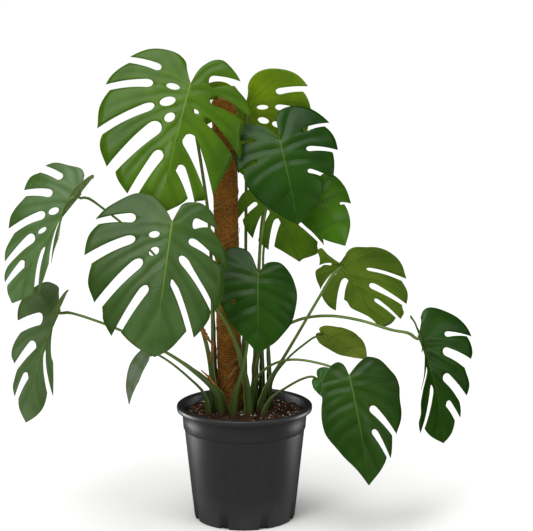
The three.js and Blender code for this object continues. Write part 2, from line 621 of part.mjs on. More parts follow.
function petioleGeometry(leaf) {
  const [sheath, stalk] = leaf.petiole.radius;
  return tubeGeometry(petioleCurve(leaf), PETIOLE.steps, PETIOLE.sides, (t) => {
    const flare = Math.exp(-((t / 0.28) ** 2));
    const end = clamp((t - 0.93) / 0.07, 0, 1);
    const radius = lerp(lerp(stalk, sheath, flare), PETIOLE.tipRadius, end);
    return [radius, radius];
  });
}

// Solids to cut and join
function toSolid(geometry) {
  const plain = geometry.clone();
  for (const name of Object.keys(plain.attributes)) {
    if (name !== 'position') {
      plain.deleteAttribute(name);
    }
  }
  const merged = mergeVertices(plain, 1e-3);
  return new wasm.Manifold(new wasm.Mesh({
    numProp: 3,
    vertProperties: new Float32Array(merged.attributes.position.array),
    triVerts: new Uint32Array(merged.index.array),
  }));
}

function toGeometry(solid) {
  const mesh = solid.getMesh();
  const geometry = new THREE.BufferGeometry();
  geometry.setAttribute('position', new THREE.BufferAttribute(mesh.vertProperties, 3));
  geometry.setIndex(new THREE.BufferAttribute(mesh.triVerts, 1));
  return geometry;
}

// Lathe profiles are [radius, height]; the turned shape is stood up along Z
function turned(profile, segments) {
  const geometry = new THREE.LatheGeometry(profile.map(([r, z]) => new THREE.Vector2(r, z)), segments);
  return geometry.rotateX(Math.PI / 2);
}

const potWallRadius = (z) => lerp(POT.baseRadius, POT.bandBottomRadius - POT.stepIn, z / POT.bandBottom);

function potGeometry() {
  const lipBottom = POT.height - POT.lipHeight;
  const inside = potWallRadius(POT.floor) - POT.wall;
  const shell = toSolid(turned([
    [0, 0],
    [POT.baseRadius - POT.footChamfer, 0],
    [POT.baseRadius, POT.footChamfer],
    [potWallRadius(POT.bandBottom), POT.bandBottom],
    [POT.bandBottomRadius, POT.bandBottom + 1.5],
    [POT.bandTopRadius, lipBottom],
    [POT.rimRadius - 1, lipBottom + 0.5],
    [POT.rimRadius, lipBottom + 2],
    [POT.rimRadius, POT.height - 1.2],
    [POT.rimRadius - 1.2, POT.height],
    [POT.bandTopRadius, POT.height],
    [POT.bandTopRadius - POT.lipWall, POT.height - 3],
    [POT.bandBottomRadius - POT.wall, POT.bandBottom + 1.5],
    [potWallRadius(POT.bandBottom) - POT.wall, POT.bandBottom - 1],
    [inside, POT.floor],
    [0, POT.floor],
  ], POT.segments));
  const corner = new THREE.Matrix4();
  let pot = shell;
  for (let k = 0; k < POT.notches; k += 1) {
    const angle = 2 * Math.PI * (k + 0.5) / POT.notches;
    const notch = new THREE.BoxGeometry(2 * POT.notchDepth, POT.notchWidth, 2 * POT.notchHeight);
    corner.makeRotationZ(angle).setPosition(POT.baseRadius * Math.cos(angle), POT.baseRadius * Math.sin(angle), 0);
    pot = pot.subtract(toSolid(notch.applyMatrix4(corner)));
  }
  return toGeometry(pot);
}

// The pole leans a little; its pieces are made upright and then tilted about its foot
const poleFoot = new THREE.Vector3(...POLE.foot);
const poleAxis = new THREE.Vector3(...POLE.top).sub(poleFoot);
const poleLength = poleAxis.length();
const poleTurn = new THREE.Quaternion().setFromUnitVectors(new THREE.Vector3(0, 0, 1), poleAxis.clone().normalize());

function alongPole(geometry) {
  return geometry.applyQuaternion(poleTurn).translate(...POLE.foot);
}

function poleCoreGeometry() {
  return alongPole(turned([
    [0, -8], [POLE.coreRadius - 2, -8], [POLE.coreRadius, 0], [POLE.coreRadius, poleLength + POLE.coreAbove],
    [0, poleLength + POLE.coreAbove],
  ], 12));
}

function poleCoirGeometry() {
  const inside = POLE.coreRadius + CLEARANCE + 0.4;
  const top = poleLength;
  return alongPole(turned([
    [inside, 0], [POLE.radius, 0], [POLE.radius, top * 0.4], [POLE.radius - 0.6, top * 0.7],
    [POLE.radius, top - 5], [POLE.radius - 4, top], [inside, top - 1], [inside, 0],
  ], POLE.sides));
}

function twineGeometry() {
  const entry = (POLE.soilEntry - POLE.foot[2]) / poleLength;
  const steps = TWINE.turns * TWINE.stepsPerTurn;
  const radius = (POLE.radius + TWINE.thickness / 2 + CLEARANCE) / Math.cos(Math.PI / TWINE.stepsPerTurn) + 0.2;
  const points = [];
  for (let i = 0; i <= steps; i += 1) {
    const angle = 2 * Math.PI * i / TWINE.stepsPerTurn;
    const height = poleLength * lerp(lerp(entry, 1, TWINE.from), TWINE.to, i / steps);
    points.push(new THREE.Vector3(radius * Math.cos(angle), radius * Math.sin(angle), height));
  }
  const curve = new THREE.CatmullRomCurve3(points);
  return alongPole(tubeGeometry(curve, steps, 4, () => [TWINE.thickness / 2, TWINE.thickness / 2]));
}

// An aerial root: slanting across the pole's foot, then straight down into the soil
function rootCurve(root) {
  const radius = POLE.radius + ROOT.radius + ROOT.standOff;
  const points = root.wrap.map(([degrees, height]) => {
    const axis = poleFoot.clone().addScaledVector(poleAxis, (height - POLE.foot[2]) / poleAxis.z);
    const angle = radians(degrees);
    return axis.add(new THREE.Vector3(radius * Math.cos(angle), radius * Math.sin(angle), 0));
  });
  const last = points[points.length - 1];
  points.push(new THREE.Vector3(last.x, last.y, SOIL_TOP + 4));
  points.push(new THREE.Vector3(last.x, last.y, SOIL_TOP - ROOT.buried));
  return new THREE.CatmullRomCurve3(points, false, 'centripetal');
}

function rootGeometry(root) {
  return tubeGeometry(rootCurve(root), ROOT.steps, ROOT.sides, () => [ROOT.radius, ROOT.radius]);
}

// The soil: a low crown with soft lumps, and a plain hole for each stem and the pole
function soilGeometry(stems) {
  const positions = [];
  const index = [];
  const ring = (radius, height) => {
    for (let k = 0; k < SOIL.segments; k += 1) {
      const angle = 2 * Math.PI * k / SOIL.segments;
      const [x, y] = [radius * Math.cos(angle), radius * Math.sin(angle)];
      positions.push(x, y, height(x, y, radius));
    }
  };
  const potGap = 1;
  const bottom = POT.floor + CLEARANCE;
  const edgeRadius = POT.bandBottomRadius - POT.wall - potGap;
  const surface = (x, y, radius) => SOIL.edgeHeight
    + SOIL.crown * (1 - (radius / edgeRadius) ** 2)
    + SOIL.lump * Math.sin(x * 0.11 + 1.3) * Math.cos(y * 0.13 - 0.4);
  ring(potWallRadius(bottom) - POT.wall - potGap, () => bottom);
  ring(potWallRadius(POT.bandBottom) - POT.wall - potGap, () => POT.bandBottom - 4);
  ring(edgeRadius, () => POT.bandBottom + 6);
  for (let k = 0; k < SOIL.rings; k += 1) {
    ring(edgeRadius * (1 - k / SOIL.rings), surface);
  }
  const rings = SOIL.rings + 3;
  for (let i = 0; i + 1 < rings; i += 1) {
    for (let k = 0; k < SOIL.segments; k += 1) {
      const [a, b] = [i * SOIL.segments + k, i * SOIL.segments + (k + 1) % SOIL.segments];
      index.push(a, b, b + SOIL.segments, a, b + SOIL.segments, a + SOIL.segments);
    }
  }
  const [low, high] = [positions.length / 3, positions.length / 3 + 1];
  positions.push(0, 0, bottom, 0, 0, surface(0, 0, 0));
  for (let k = 0; k < SOIL.segments; k += 1) {
    const next = (k + 1) % SOIL.segments;
    const top = (rings - 1) * SOIL.segments;
    index.push(low, next, k, high, top + k, top + next);
  }
  const geometry = new THREE.BufferGeometry();
  geometry.setAttribute('position', new THREE.Float32BufferAttribute(positions, 3));
  geometry.setIndex(index);
  let soil = toSolid(geometry);
  for (const stem of stems) {
    soil = soil.subtract(toSolid(stem));
  }
  return toGeometry(soil);
}

// What is cut from the soil for a stem: its buried foot, a little larger
function stemHole(x, y, stemRadius, buried) {
  const deep = SOIL_TOP - buried - CLEARANCE;
  const high = SOIL_TOP + 30;
  const radius = stemRadius + FOOT_GAP;
  return turned([[0, deep], [radius, deep], [radius, high], [0, high]], 12).translate(x, y, 0);
}

const petioleHole = (leaf) => stemHole(...leaf.petiole.foot, leaf.petiole.radius[0], PETIOLE.buried);

function rootHole(root) {
  const foot = rootCurve(root).getPoint(1);
  return stemHole(foot.x, foot.y, ROOT.radius, ROOT.buried);
}

function poleHole() {
  const radius = POLE.radius + FOOT_GAP;
  return alongPole(turned([
    [0, -9], [POLE.coreRadius + 1, -9], [POLE.coreRadius + 1, -CLEARANCE], [radius, -CLEARANCE],
    [radius, poleLength], [0, poleLength],
  ], POLE.sides));
}

// The model
const plant = new THREE.Group();
plant.name = 'potted_swiss_cheese_plant';

function addPiece(name, geometry, material) {
  const mesh = new THREE.Mesh(geometry, material);
  mesh.name = name;
  plant.add(mesh);
}

addPiece('nursery_pot', potGeometry(), FINISH.pot);
const holes = [poleHole(), ...LEAVES.map(petioleHole), ...AERIAL_ROOTS.map(rootHole)];
addPiece('soil', soilGeometry(holes), FINISH.soil);
addPiece('pole_core', poleCoreGeometry(), FINISH.core);
addPiece('pole_coir', poleCoirGeometry(), FINISH.coir);
addPiece('pole_twine', twineGeometry(), FINISH.twine);
for (const root of AERIAL_ROOTS) {
  addPiece(root.name, rootGeometry(root), FINISH.root);
}
LEAVES.forEach((leaf, i) => {
  addPiece(`${leaf.name}_blade`, bladeGeometry(leaf, i + 1), finish(leaf.colour, 0.45));
  addPiece(`${leaf.name}_petiole`, petioleGeometry(leaf), FINISH.petiole);
});

export default plant;
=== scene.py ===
# Potted swiss cheese plant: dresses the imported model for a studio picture.
# Metres, +Z up. The origin is the middle of the pot's flat base, where it stands, and the front is -Y.

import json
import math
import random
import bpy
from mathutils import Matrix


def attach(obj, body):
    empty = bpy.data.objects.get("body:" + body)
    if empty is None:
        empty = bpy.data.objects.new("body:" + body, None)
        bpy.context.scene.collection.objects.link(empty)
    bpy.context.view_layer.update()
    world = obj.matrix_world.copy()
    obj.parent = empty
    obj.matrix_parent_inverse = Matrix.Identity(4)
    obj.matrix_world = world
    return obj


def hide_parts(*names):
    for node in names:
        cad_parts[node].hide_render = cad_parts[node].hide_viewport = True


bl_info = {
    "name": "Potted Swiss Cheese Plant",
    "version": (1, 0, 0),
    "blender": (4, 5, 0),
    "location": "View3D > Sidebar > Plant",
    "description": "Builds the leaves, stalks, soil, coir pole and nursery pot of a swiss cheese plant",
    "category": "Object",
}

from functools import cache, partialmethod
from types import SimpleNamespace

import bmesh
import bpy
import numpy
from bpy.props import FloatProperty, FloatVectorProperty, IntProperty, PointerProperty
from mathutils import Matrix, Vector, noise

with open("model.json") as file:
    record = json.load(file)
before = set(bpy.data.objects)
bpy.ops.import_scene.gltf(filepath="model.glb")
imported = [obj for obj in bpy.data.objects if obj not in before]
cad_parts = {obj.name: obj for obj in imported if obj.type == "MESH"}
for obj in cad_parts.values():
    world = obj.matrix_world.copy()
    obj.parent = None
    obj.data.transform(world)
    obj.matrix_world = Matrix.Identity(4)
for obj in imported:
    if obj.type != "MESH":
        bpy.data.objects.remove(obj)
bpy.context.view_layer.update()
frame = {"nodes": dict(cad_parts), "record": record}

MM = 0.001
TURN = 2 * math.pi
TINY = 1e-6

# Leaves 1 to 15, in millimetres and degrees as in the part's source. Margins run from the attachment round
# the basal lobe to the tip, as (across, along) in hundredths of the blade's length. A cut is (station on
# the midrib, place on the margin in points, where the split starts along its vein, its width, its mouth,
# and a hole's start, end and width); only the first two make a plain vein. Folds and curls are left, then
# right. Tones are the colour of the face that is seen from the front, as sRGB.
# Each tone is partly the leaf's own green and partly painted light and shade: painted sheen in the
# grey-green tones, painted shade in the darkest ones.
LEAVES = [
    dict(tone="406205", base=(-94, -45, 817), tip=(-147, -112, 592), faces=(-6, 22), arch=0.05,
         fold=(4, -10), curl=(14, 30), foot=(-57, 14), radii=(6, 3),
         via=[(-58, 11, 300), (-60, 4, 450), (-65, -4, 570), (-77, -12, 665), (-92, -20, 765)],
         left=[(5, -9), (9, -17), (17, -22), (29, -23), (40, -20), (50, -11), (59, 3), (62, 14), (63, 31),
               (59, 46), (56, 60), (46, 73), (38, 81), (26, 90), (13, 96)],
         left_cuts=[(3, 6.1, 48, 6, 7), (6, 8.1, 44, 7, 6, 11, 28, 5), (12, 10.3, 38, 7, 7, 13, 32, 7),
                    (21, 12.4, 33, 12, 8, 13, 27, 7), (40, 14.2, 36, 9, 6)],
         right=[(2, -10), (6, -18), (12, -23), (19, -24), (27, -19), (33, -13), (37, -5), (44, 2), (49, 10),
                (49, 20), (46, 30), (49, 40), (46, 52), (41, 62), (37, 72), (33, 82), (24, 85), (14, 91)],
         right_cuts=[(2, 6.5, 36, 11, 5), (8, 9.7, 34, 9, 6), (17, 12.6, 34, 5, 4, 14, 24, 3),
                     (33, 15.8, 18, 12, 6), (56, 17.3, 28, 8, 4)]),
    dict(tone="395423", base=(-123, -150, 584), tip=(-152, -215, 357), faces=(0, 20), arch=0.05,
         fold=(-4, -12), curl=(18, 32), foot=(10, -35), radii=(7, 3),
         via=[(5, -31, 262), (-16, -40, 345), (-52, -78, 425), (-90, -105, 500), (-116, -122, 558)],
         left=[(4, -6), (9, -12), (15, -17), (23, -19), (32, -18), (46, -9), (52, -3), (57, 6), (62, 17),
               (62, 30), (59, 41), (57, 53), (50, 64), (44, 73), (41, 79), (33, 88), (24, 91), (12, 96)],
         left_cuts=[(3, 8.0, 48, 8, 6), (9, 10.5, 42, 7, 9, 13, 26, 5), (16, 13.4, 38, 8, 8, 15, 28, 6),
                    (33, 16.2, 37, 7, 5)],
         right=[(3, -9), (6, -15), (12, -17), (20, -17), (29, -11), (33, 0), (39, 9), (44, 18), (47, 35),
                (46, 49), (41, 61), (38, 69), (31, 78), (26, 82), (20, 84), (10, 94)],
         right_cuts=[(2, 6.1, 45, 10, 1), (8, 8.8, 30, 7, 1), (18, 11.2, 22, 7, 4), (36, 14.2, 20, 5, 4)]),
    dict(tone="496435", base=(-292, -70, 623), tip=(-415, -95, 428), faces=(-36, 20), arch=0.06,
         fold=(14, 62), tip_fold=(10, 4), curl=(22, 22), foot=(-60, -12), radii=(7, 2.4),
         via=[(-61, -12, 280), (-82, -16, 372), (-133, -24, 465), (-195, -34, 540), (-250, -48, 590),
              (-282, -58, 614)],
         left=[(4, -6), (9, -13), (15, -16), (25, -13), (36, -9), (41, -2), (44, 5), (47, 12), (45, 22),
               (40, 29), (39, 38), (38, 46), (33, 55), (30, 62), (28, 70), (23, 78), (18, 86), (13, 91),
               (7, 96)],
         left_cuts=[(2, 6.4, 52, 6, 8), (8, 9.4, 45, 7, 7), (15, 13.0, 42, 8, 5, 16, 36, 6),
                    (28, 16.0, 45, 9, 5, 22, 38, 4), (50, 18.0, 50, 7, 5)],
         right=[(5, -10), (11, -16), (18, -18), (26, -13), (32, -5), (36, 6), (38, 18), (39, 32), (36, 44),
                (34, 56), (31, 66), (26, 76), (22, 84), (8, 94)],
         right_cuts=[(2, 6.4, 40, 5, 4), (7, 8.2, 30, 7, 5), (17, 10.0, 24, 8, 6), (38, 13.0, 30, 9, 6)]),
    dict(tone="475e33", base=(-335, -60, 409), tip=(-398, -82, 203), faces=(-33, 18), arch=0.06,
         fold=(12, 64), tip_fold=(8, 0), curl=(20, 22), foot=(-42, -31), radii=(9, 2.4),
         via=[(-52, -36, 248), (-92, -46, 290), (-150, -54, 332), (-230, -58, 372), (-300, -58, 398),
              (-322, -54, 402)],
         left=[(6, -9), (11, -16), (17, -18), (25, -17), (33, -9), (38, 0), (39, 10), (36, 18), (31, 25),
               (31, 40), (28, 50), (22, 56), (20, 69), (19, 76), (15, 84), (9, 92)],
         left_cuts=[(8, 8.9, 38, 11, 12), (17, 12.2, 46, 9, 9), (36, 15.0, 56, 7, 5)],
         right=[(5, -12), (10, -18), (17, -18), (25, -12), (31, -2), (35, 10), (36, 24), (36, 38), (35, 52),
                (33, 62), (28, 73), (20, 83), (9, 93)],
         right_cuts=[(5, 6.2, 45, 5, 4), (14, 8.1, 30, 6, 5, 12, 22, 3), (29, 10.6, 22, 9, 7)]),
    dict(tone="688802", base=(5, 35, 781), tip=(28, 90, 620), faces=(176, 24), arch=0.05, fold=(-3, -8),
         curl=(10, 16), foot=(0, 38), radii=(6, 2.8),
         via=[(0, 40, 300), (2, 45, 450), (3, 49, 570), (4, 43, 680), (4, 28, 756)],
         left=[(3, -10), (5, -20), (10, -29), (19, -36), (32, -39), (48, -36), (59, -28), (66, -13),
               (68, 5), (67, 22), (62, 38), (54, 52), (42, 68), (26, 82), (12, 92)],
         left_cuts=[(4, 8.1, 50, 9, 6), (11, 9.9, 44, 8, 6, 14, 33, 6), (23, 11.8, 42, 8, 6, 15, 36, 8),
                    (44, 13.6, 42, 7, 5)],
         right=[(4, -6), (10, -18), (20, -28), (34, -30), (46, -22), (52, -8), (54, 8), (52, 26), (48, 44),
                (40, 60), (30, 74), (16, 88)],
         right_cuts=[(6, 6.1, 42, 7, 5), (18, 8.0, 42, 8, 5), (36, 9.8, 42, 8, 5)]),
    dict(tone="1b4002", base=(65, -46, 717), tip=(98, -90, 570), faces=(2, 18), arch=0.06, fold=(2, -4),
         curl=(20, 20), foot=(20, 47), radii=(6, 2.8),
         via=[(22, 53, 300), (26, 66, 400), (28, 75, 480), (34, 80, 560), (52, 58, 652), (65, 4, 700)],
         left=[(6, -11), (16, -21), (30, -27), (44, -25), (52, -14), (55, 0), (55, 16), (53, 32), (47, 50),
               (37, 67), (23, 82), (10, 94)],
         left_cuts=[(4, 5.6, 52, 5, 3), (16, 7.8, 60, 3, 1), (34, 9.6)],
         right=[(1, -8), (1, -18), (3, -30), (12, -37), (28, -38), (44, -31), (57, -16), (64, 2), (64, 20),
                (58, 38), (50, 55), (38, 71), (22, 86)],
         right_cuts=[(6, 7.4, 48, 6, 4), (18, 9.3, 44, 7, 4), (36, 11.1, 48, 6, 4)]),
    dict(tone="376102", base=(134, -18, 626), tip=(184, -46, 524), faces=(14, 20), arch=0.06, fold=(-6, -8),
         curl=(20, 20), foot=(48, 26), radii=(5, 2.4),
         via=[(46, 30, 290), (40, 36, 380), (35, 40, 450), (39, 48, 520), (68, 60, 578), (110, 32, 612)],
         left=[(8, -10), (20, -16), (36, -12), (46, 2), (50, 18), (48, 36), (41, 56), (27, 78)],
         left_cuts=[(12, 4.0), (34, 6.2)],
         right=[(8, -12), (22, -18), (36, -12), (44, 2), (46, 18), (42, 36), (34, 56), (22, 76)],
         right_cuts=[(12, 4.4), (34, 6.4, 56, 5, 4)]),
    dict(tone="4e7502", base=(48, 12, 614), tip=(103, 44, 479), faces=(177, 16), arch=0.05, fold=(-6, -6),
         curl=(14, 16), foot=(34, 38), radii=(6, 2.6),
         via=[(33, 30, 300), (29, 6, 400), (27, -10, 480), (34, -12, 548), (43, -8, 596)],
         left=[(8, -8), (18, -18), (32, -16), (42, -2), (46, 14), (46, 32), (44, 50), (41, 68), (38, 82),
               (31, 91), (28, 97), (16, 98), (6, 98)],
         left_cuts=[(6, 4.8, 46, 6, 4), (26, 9.3, 50, 6, 5)],
         right=[(10, -10), (24, -16), (38, -8), (46, 6), (48, 20), (47, 34), (43, 48), (38, 58), (33, 66),
                (26, 74), (17, 80), (8, 90)],
         right_cuts=[(4, 4.9, 42, 7, 6), (14, 7.4, 28, 9, 8), (34, 9.8, 14, 10, 7)]),
    dict(tone="1c3f02", base=(26, -75, 481), tip=(26, -112, 339), faces=(0, 15), arch=0.06, fold=(-4, -6),
         curl=(16, 20), foot=(-20, -46), radii=(7, 2.8),
         via=[(-13, -52, 258), (0, -60, 306), (14, -48, 400), (25, -48, 456)],
         left=[(6, -17), (12, -26), (22, -31), (36, -31), (46, -22), (52, -6), (54, 12), (51, 28), (46, 40),
               (37, 59), (26, 72), (12, 87)],
         left_cuts=[(4, 5.4), (14, 7.2), (30, 9.2, 85, 0, 0, 62, 72, 5), (52, 10.9)],
         right=[(3, -2), (7, -9), (17, -13), (29, -11), (40, 1), (46, 14), (49, 28), (47, 45), (42, 62),
                (34, 73), (22, 86), (10, 94)],
         right_cuts=[(4, 5.2), (14, 7.0), (30, 8.8), (52, 10.6)]),
    dict(tone="4d680b", base=(175, -15, 487), tip=(255, 12, 359), faces=(177, 10), arch=0.05, fold=(-6, -6),
         curl=(14, 14), foot=(30, -10), radii=(7.5, 3.1),
         via=[(42, -15, 254), (67, -20, 300), (98, -22, 354), (136, -26, 422), (164, -30, 470)],
         left=[(3, -1), (9, -4), (17, -10), (27, -11), (40, -4), (50, 2), (59, 12), (64, 25), (64, 38),
               (59, 52), (56, 64), (53, 74), (47, 82), (38, 89), (35, 95), (25, 99), (13, 101)],
         left_cuts=[(8, 10.4, 42, 5, 6), (24, 13.6, 40, 9, 4), (42, 15.9, 46, 6, 3)],
         right=[(3, -10), (5, -20), (6, -31), (12, -31), (15, -20), (22, -10), (30, -8), (34, 4), (35, 15),
                (41, 25), (40, 40), (34, 49), (23, 54), (20, 62), (12, 72), (5, 83)],
         right_cuts=[(4, 5.8, 40, 4, 3), (8, 9.2, 24, 5, 4), (20, 12.4, 12, 9, 10)]),
    dict(tone="1c3e03", base=(319, -60, 361), tip=(365, -86, 165), faces=(34, 18), arch=0.06, fold=(62, 12),
         tip_fold=(4, 8), curl=(22, 22), foot=(20, 14), radii=(6, 2.7),
         via=[(22, 13, 285), (34, 12, 330), (72, 9, 361), (110, 3, 379), (160, -12, 387), (215, -30, 382),
              (270, -46, 368), (303, -50, 362)],
         left=[(5, -9), (10, -17), (17, -20), (25, -14), (31, -4), (34, 8), (34, 20), (33, 31), (36, 42),
               (40, 54), (36, 64), (36, 72), (29, 82), (20, 88), (10, 94)],
         left_cuts=[(8, 6.4, 40, 5, 4), (20, 9.2, 44, 7, 5), (38, 13.1, 22, 10, 6)],
         right=[(6, -8), (11, -14), (15, -19), (21, -21), (30, -18), (42, -9), (48, -1), (51, 8), (51, 18),
                (48, 29), (42, 36), (38, 46), (36, 56), (30, 65), (24, 74), (19, 84), (10, 94)],
         right_cuts=[(5, 8.6, 50, 6, 1), (11, 11.1, 44, 8, 11), (27, 14.2, 42, 9, 8),
                     (50, 16.0, 50, 7, 6)]),
    dict(tone="203f06", base=(191, -95, 295), tip=(225, -152, 106), faces=(10, 18), arch=0.06, fold=(-4, 0),
         curl=(22, 18), foot=(14, -12), radii=(6, 2.4),
         via=[(22, -20, 268), (50, -38, 300), (86, -50, 313), (130, -62, 311), (170, -72, 300)],
         left=[(2, -9), (6, -13), (11, -13), (17, -9), (25, 0), (28, 9), (29, 18), (32, 29), (33, 40),
               (31, 51), (24, 63), (16, 75), (8, 86)],
         left_cuts=[(5, 5.4), (16, 7.6), (33, 9.8), (55, 11.6)],
         right=[(3, -3), (9, -8), (15, -12), (21, -14), (31, -10), (38, -1), (43, 8), (44, 18), (42, 29),
                (41, 40), (38, 49), (32, 58), (28, 68), (25, 77), (21, 83), (13, 90), (6, 95)],
         right_cuts=[(3, 6.6), (10, 8.6), (17, 12.2, 42, 8, 5), (31, 14.6, 50, 6, 4)]),
    dict(tone="738921", base=(143, 22, 348), tip=(232, 56, 288), faces=(186, 44), arch=0.05, fold=(-4, -4),
         curl=(16, 16), foot=(46, 6), radii=(4.5, 2.2),
         via=[(53, 8, 262), (80, 10, 300), (112, 12, 328), (134, 14, 342)],
         left=[(6, -8), (16, -12), (28, -6), (38, 10), (42, 30), (40, 50), (30, 70), (14, 88)],
         left_cuts=[(10, 3.8), (38, 6.0)],
         right=[(3, -4), (8, -4), (15, 4), (21, 16), (25, 30), (26, 46), (24, 62), (14, 82)],
         right_cuts=[(10, 3.8), (38, 6.0)]),
    dict(tone="637255", base=(-181, -14, 318), tip=(-214, -22, 221), faces=(-72, 12), arch=0.08,
         fold=(10, 10), curl=(24, 24), foot=(-68, -36), radii=(4.5, 2.2),
         via=[(-74, -36, 244), (-104, -32, 276), (-146, -24, 308), (-172, -16, 319)],
         left=[(6, -8), (16, -12), (28, -6), (36, 10), (38, 28), (36, 48), (28, 68), (14, 86)],
         left_cuts=[(10, 3.8), (38, 6.0)],
         right=[(6, -8), (16, -12), (28, -6), (36, 10), (38, 28), (36, 48), (28, 68), (14, 86)],
         right_cuts=[(10, 3.8), (38, 6.0)]),
    dict(tone="2f5e1c", base=(136, -42, 277), tip=(200, -58, 226), faces=(8, 24), arch=0.05, fold=(-4, -4),
         curl=(16, 16), foot=(38, -36), radii=(6.5, 2.4),
         via=[(50, -37, 236), (78, -36, 257), (108, -34, 273), (126, -34, 277)],
         left=[(4, -5), (10, -7), (18, -2), (25, 10), (28, 28), (27, 48), (21, 68), (10, 87)],
         left_cuts=[(10, 3.8), (38, 6.0)],
         right=[(6, -8), (16, -12), (28, -6), (36, 10), (38, 30), (34, 50), (26, 70), (12, 88)],
         right_cuts=[(10, 3.8), (38, 6.0)]),
]

# Sizes shared with the part's source
SOIL_EDGE = 199 * MM
SOIL_CROWN = 6 * MM
SOIL_LUMP = 1.8 * MM
SOIL_TOP = SOIL_EDGE + SOIL_CROWN
SOIL_RADIUS = 111.8 * MM
POLE_FOOT = Vector((-24, 0, 40)) * MM
POLE_TOP = Vector((-36, 0, 786)) * MM
POLE_RADIUS = 22.5 * MM
CORE_RADIUS = 11 * MM
PETIOLE_BURIED = 34 * MM
PETIOLE_TIP = 2.6 * MM
ROOT_RADIUS = 1.8 * MM
ROOT_BURIED = 24 * MM
# Each aerial root's way round the pole, as (degrees, height in mm)
AERIAL_ROOTS = {
    "aerial_root_1": [(-8, 316), (-42, 297), (-88, 272), (-130, 246), (-152, 222)],
    "aerial_root_2": [(-4, 290), (-40, 272), (-72, 252), (-96, 228)],
}
# Withered strips of sheath: the line each one lies along and its width, in mm
DRY_SHEATHS = (
    (((-80, -23, 370), (-70, -26, 352), (-59, -23, 334)), 8),
    (((-57, -22, 340), (-60, -23, 318), (-67, -21, 296)), 5.5),
    (((-55, -46, 264), (-66, -44, 279), (-80, -40, 291)), 5),
)
# Leaves that turn their underside to the front
UNDERSIDE_LEAVES = (5, 8, 10, 13)
# Where the two thin wings of a petiole's sheath stand, either side of the middle of its channel
WING_ANGLE = math.radians(54)
# The groove over each side vein
GROOVE_HALF = 7.5 * MM
GROOVE_DEPTH = 2.6 * MM

# Rows run from the midrib, 0, to the margin, 1. The middle ones of these meet a vein where its hole begins,
# is widest and ends, and the last one where its split starts. The plain marks are the sinus's and the tip's.
ROW_MARKS = (0, 0.12, 0.2, 0.28, 0.42)
PLAIN_MARKS = (0, 0.1, 0.2, 0.3, 0.5)
SPLIT_ROW = ROW_MARKS[-1]
# Where the split row meets a plain vein, in hundredths of the way to the margin
CLOSED_START = 55
# How far a side vein bows towards the stalk, as a share of its length
VEIN_BEND = 0.15
# How far a lobe's corners beside its splits are drawn in and out, as shares of its breadth
SHOULDER = 0.16
HOOK = 0.05
# How far a lobe hangs at its tip, and how far its sides curve down
LOBE_DROOP = 0.05
LOBE_CUP = 0.012
SETTLE_ROUNDS = 60
# Where a vein without a hole has the rows that a hole would take, as shares of the way to its split
NO_HOLE = (0.4, 0.7)
# The share of a split's length that its round inner end takes
ROUND_END = 0.17
# Gentle waves of the blade, and how far it swells between its veins as a share of the groove's depth
WAVES_ACROSS = 4.2
WAVE_HEIGHT = 0.011
SWELLING = 0.35
# The rows of every lobe, closest where holes and splits are round
ROWS = [0, 0.06, *(0.2 - 0.08 * math.cos(math.pi * k / 8) for k in range(9)), 0.35,
        *(SPLIT_ROW + (1 - SPLIT_ROW) * (k / 13) ** 1.6 for k in range(14))]


def lerp(a, b, t):
    return a + (b - a) * t


def clamp(x, low=0.0, high=1.0):
    return min(max(x, low), high)


def chance(seed):
    """A repeatable number from 0 to 1 for each lobe."""
    value = math.sin(seed * 12.9898 + 4.137) * 43758.5453
    return value - math.floor(value)


def on_circle(angle, radius, height=0.0):
    return Vector((radius * math.cos(angle), radius * math.sin(angle), height))


def rgb(hex_tone):
    """A linear colour from an sRGB hex string."""
    parts = [int(hex_tone[i:i + 2], 16) / 255 for i in (0, 2, 4)]
    return (*(c / 12.92 if c <= 0.04045 else ((c + 0.055) / 1.055) ** 2.4 for c in parts), 1.0)


def tinted(colour, factor, toward=None, share=0.0):
    """A colour made lighter or darker, and moved part of the way to another."""
    toward = toward or colour
    return (*(clamp(lerp(c * factor, t, share)) for c, t in zip(colour[:3], toward[:3])), 1.0)


# The leaf's form, by the same rules as in the part's source


def margin_point(points, place):
    """A point on the smooth margin through the given points."""
    last = len(points) - 1
    at = clamp(place, 0, last - TINY)
    i = int(at)
    t = at - i
    a, b, c, d = points[max(i - 1, 0)], points[i], points[i + 1], points[min(i + 2, last)]
    bend = (2 * a - 5 * b + 4 * c - d) * t ** 2 + (3 * b - a - 3 * c + d) * t ** 3
    return 0.5 * (2 * b + (c - a) * t + bend)


def half_veins(points, cuts):
    """The veins of one half of a blade that bound its lobes: the sinus edge, each cut, and the tip."""
    last = len(points) - 1
    sinus_end = min(2, cuts[0][1] - 1)
    plain = {"open": False, "marks": PLAIN_MARKS}
    veins = [SimpleNamespace(kind="sinus", at=0.0, before=sinus_end, after=sinus_end, **plain)]
    for station, place, *shape in cuts:
        start, width, mouth, *hole = shape or (CLOSED_START, 0, 0)
        at, split = station / 100, start / 100
        begin, finish, hole_width = (h / 100 for h in hole) if hole else (*(split * h for h in NO_HOLE), 0)
        end = margin_point(points, place)
        nearby = 0.1
        pace = (margin_point(points, place + nearby) - margin_point(points, place - nearby)).length
        half_mouth = mouth / 200 * 2 * nearby / pace
        bend = math.hypot(end.x, end.y - at) * VEIN_BEND
        control = Vector((end.x / 2, (at + end.y) / 2 - bend))
        veins.append(SimpleNamespace(
            kind="cut", at=at, end=end, control=control, split=split, width=width / 100,
            hole=(begin, finish, hole_width), open=width > 0, before=place - half_mouth,
            after=place + half_mouth, outward=(end - control).normalized(),
            marks=(0, begin, (begin + finish) / 2, finish, split)))
    return [*veins, SimpleNamespace(kind="tip", at=1.0, before=last, after=last, **plain)]


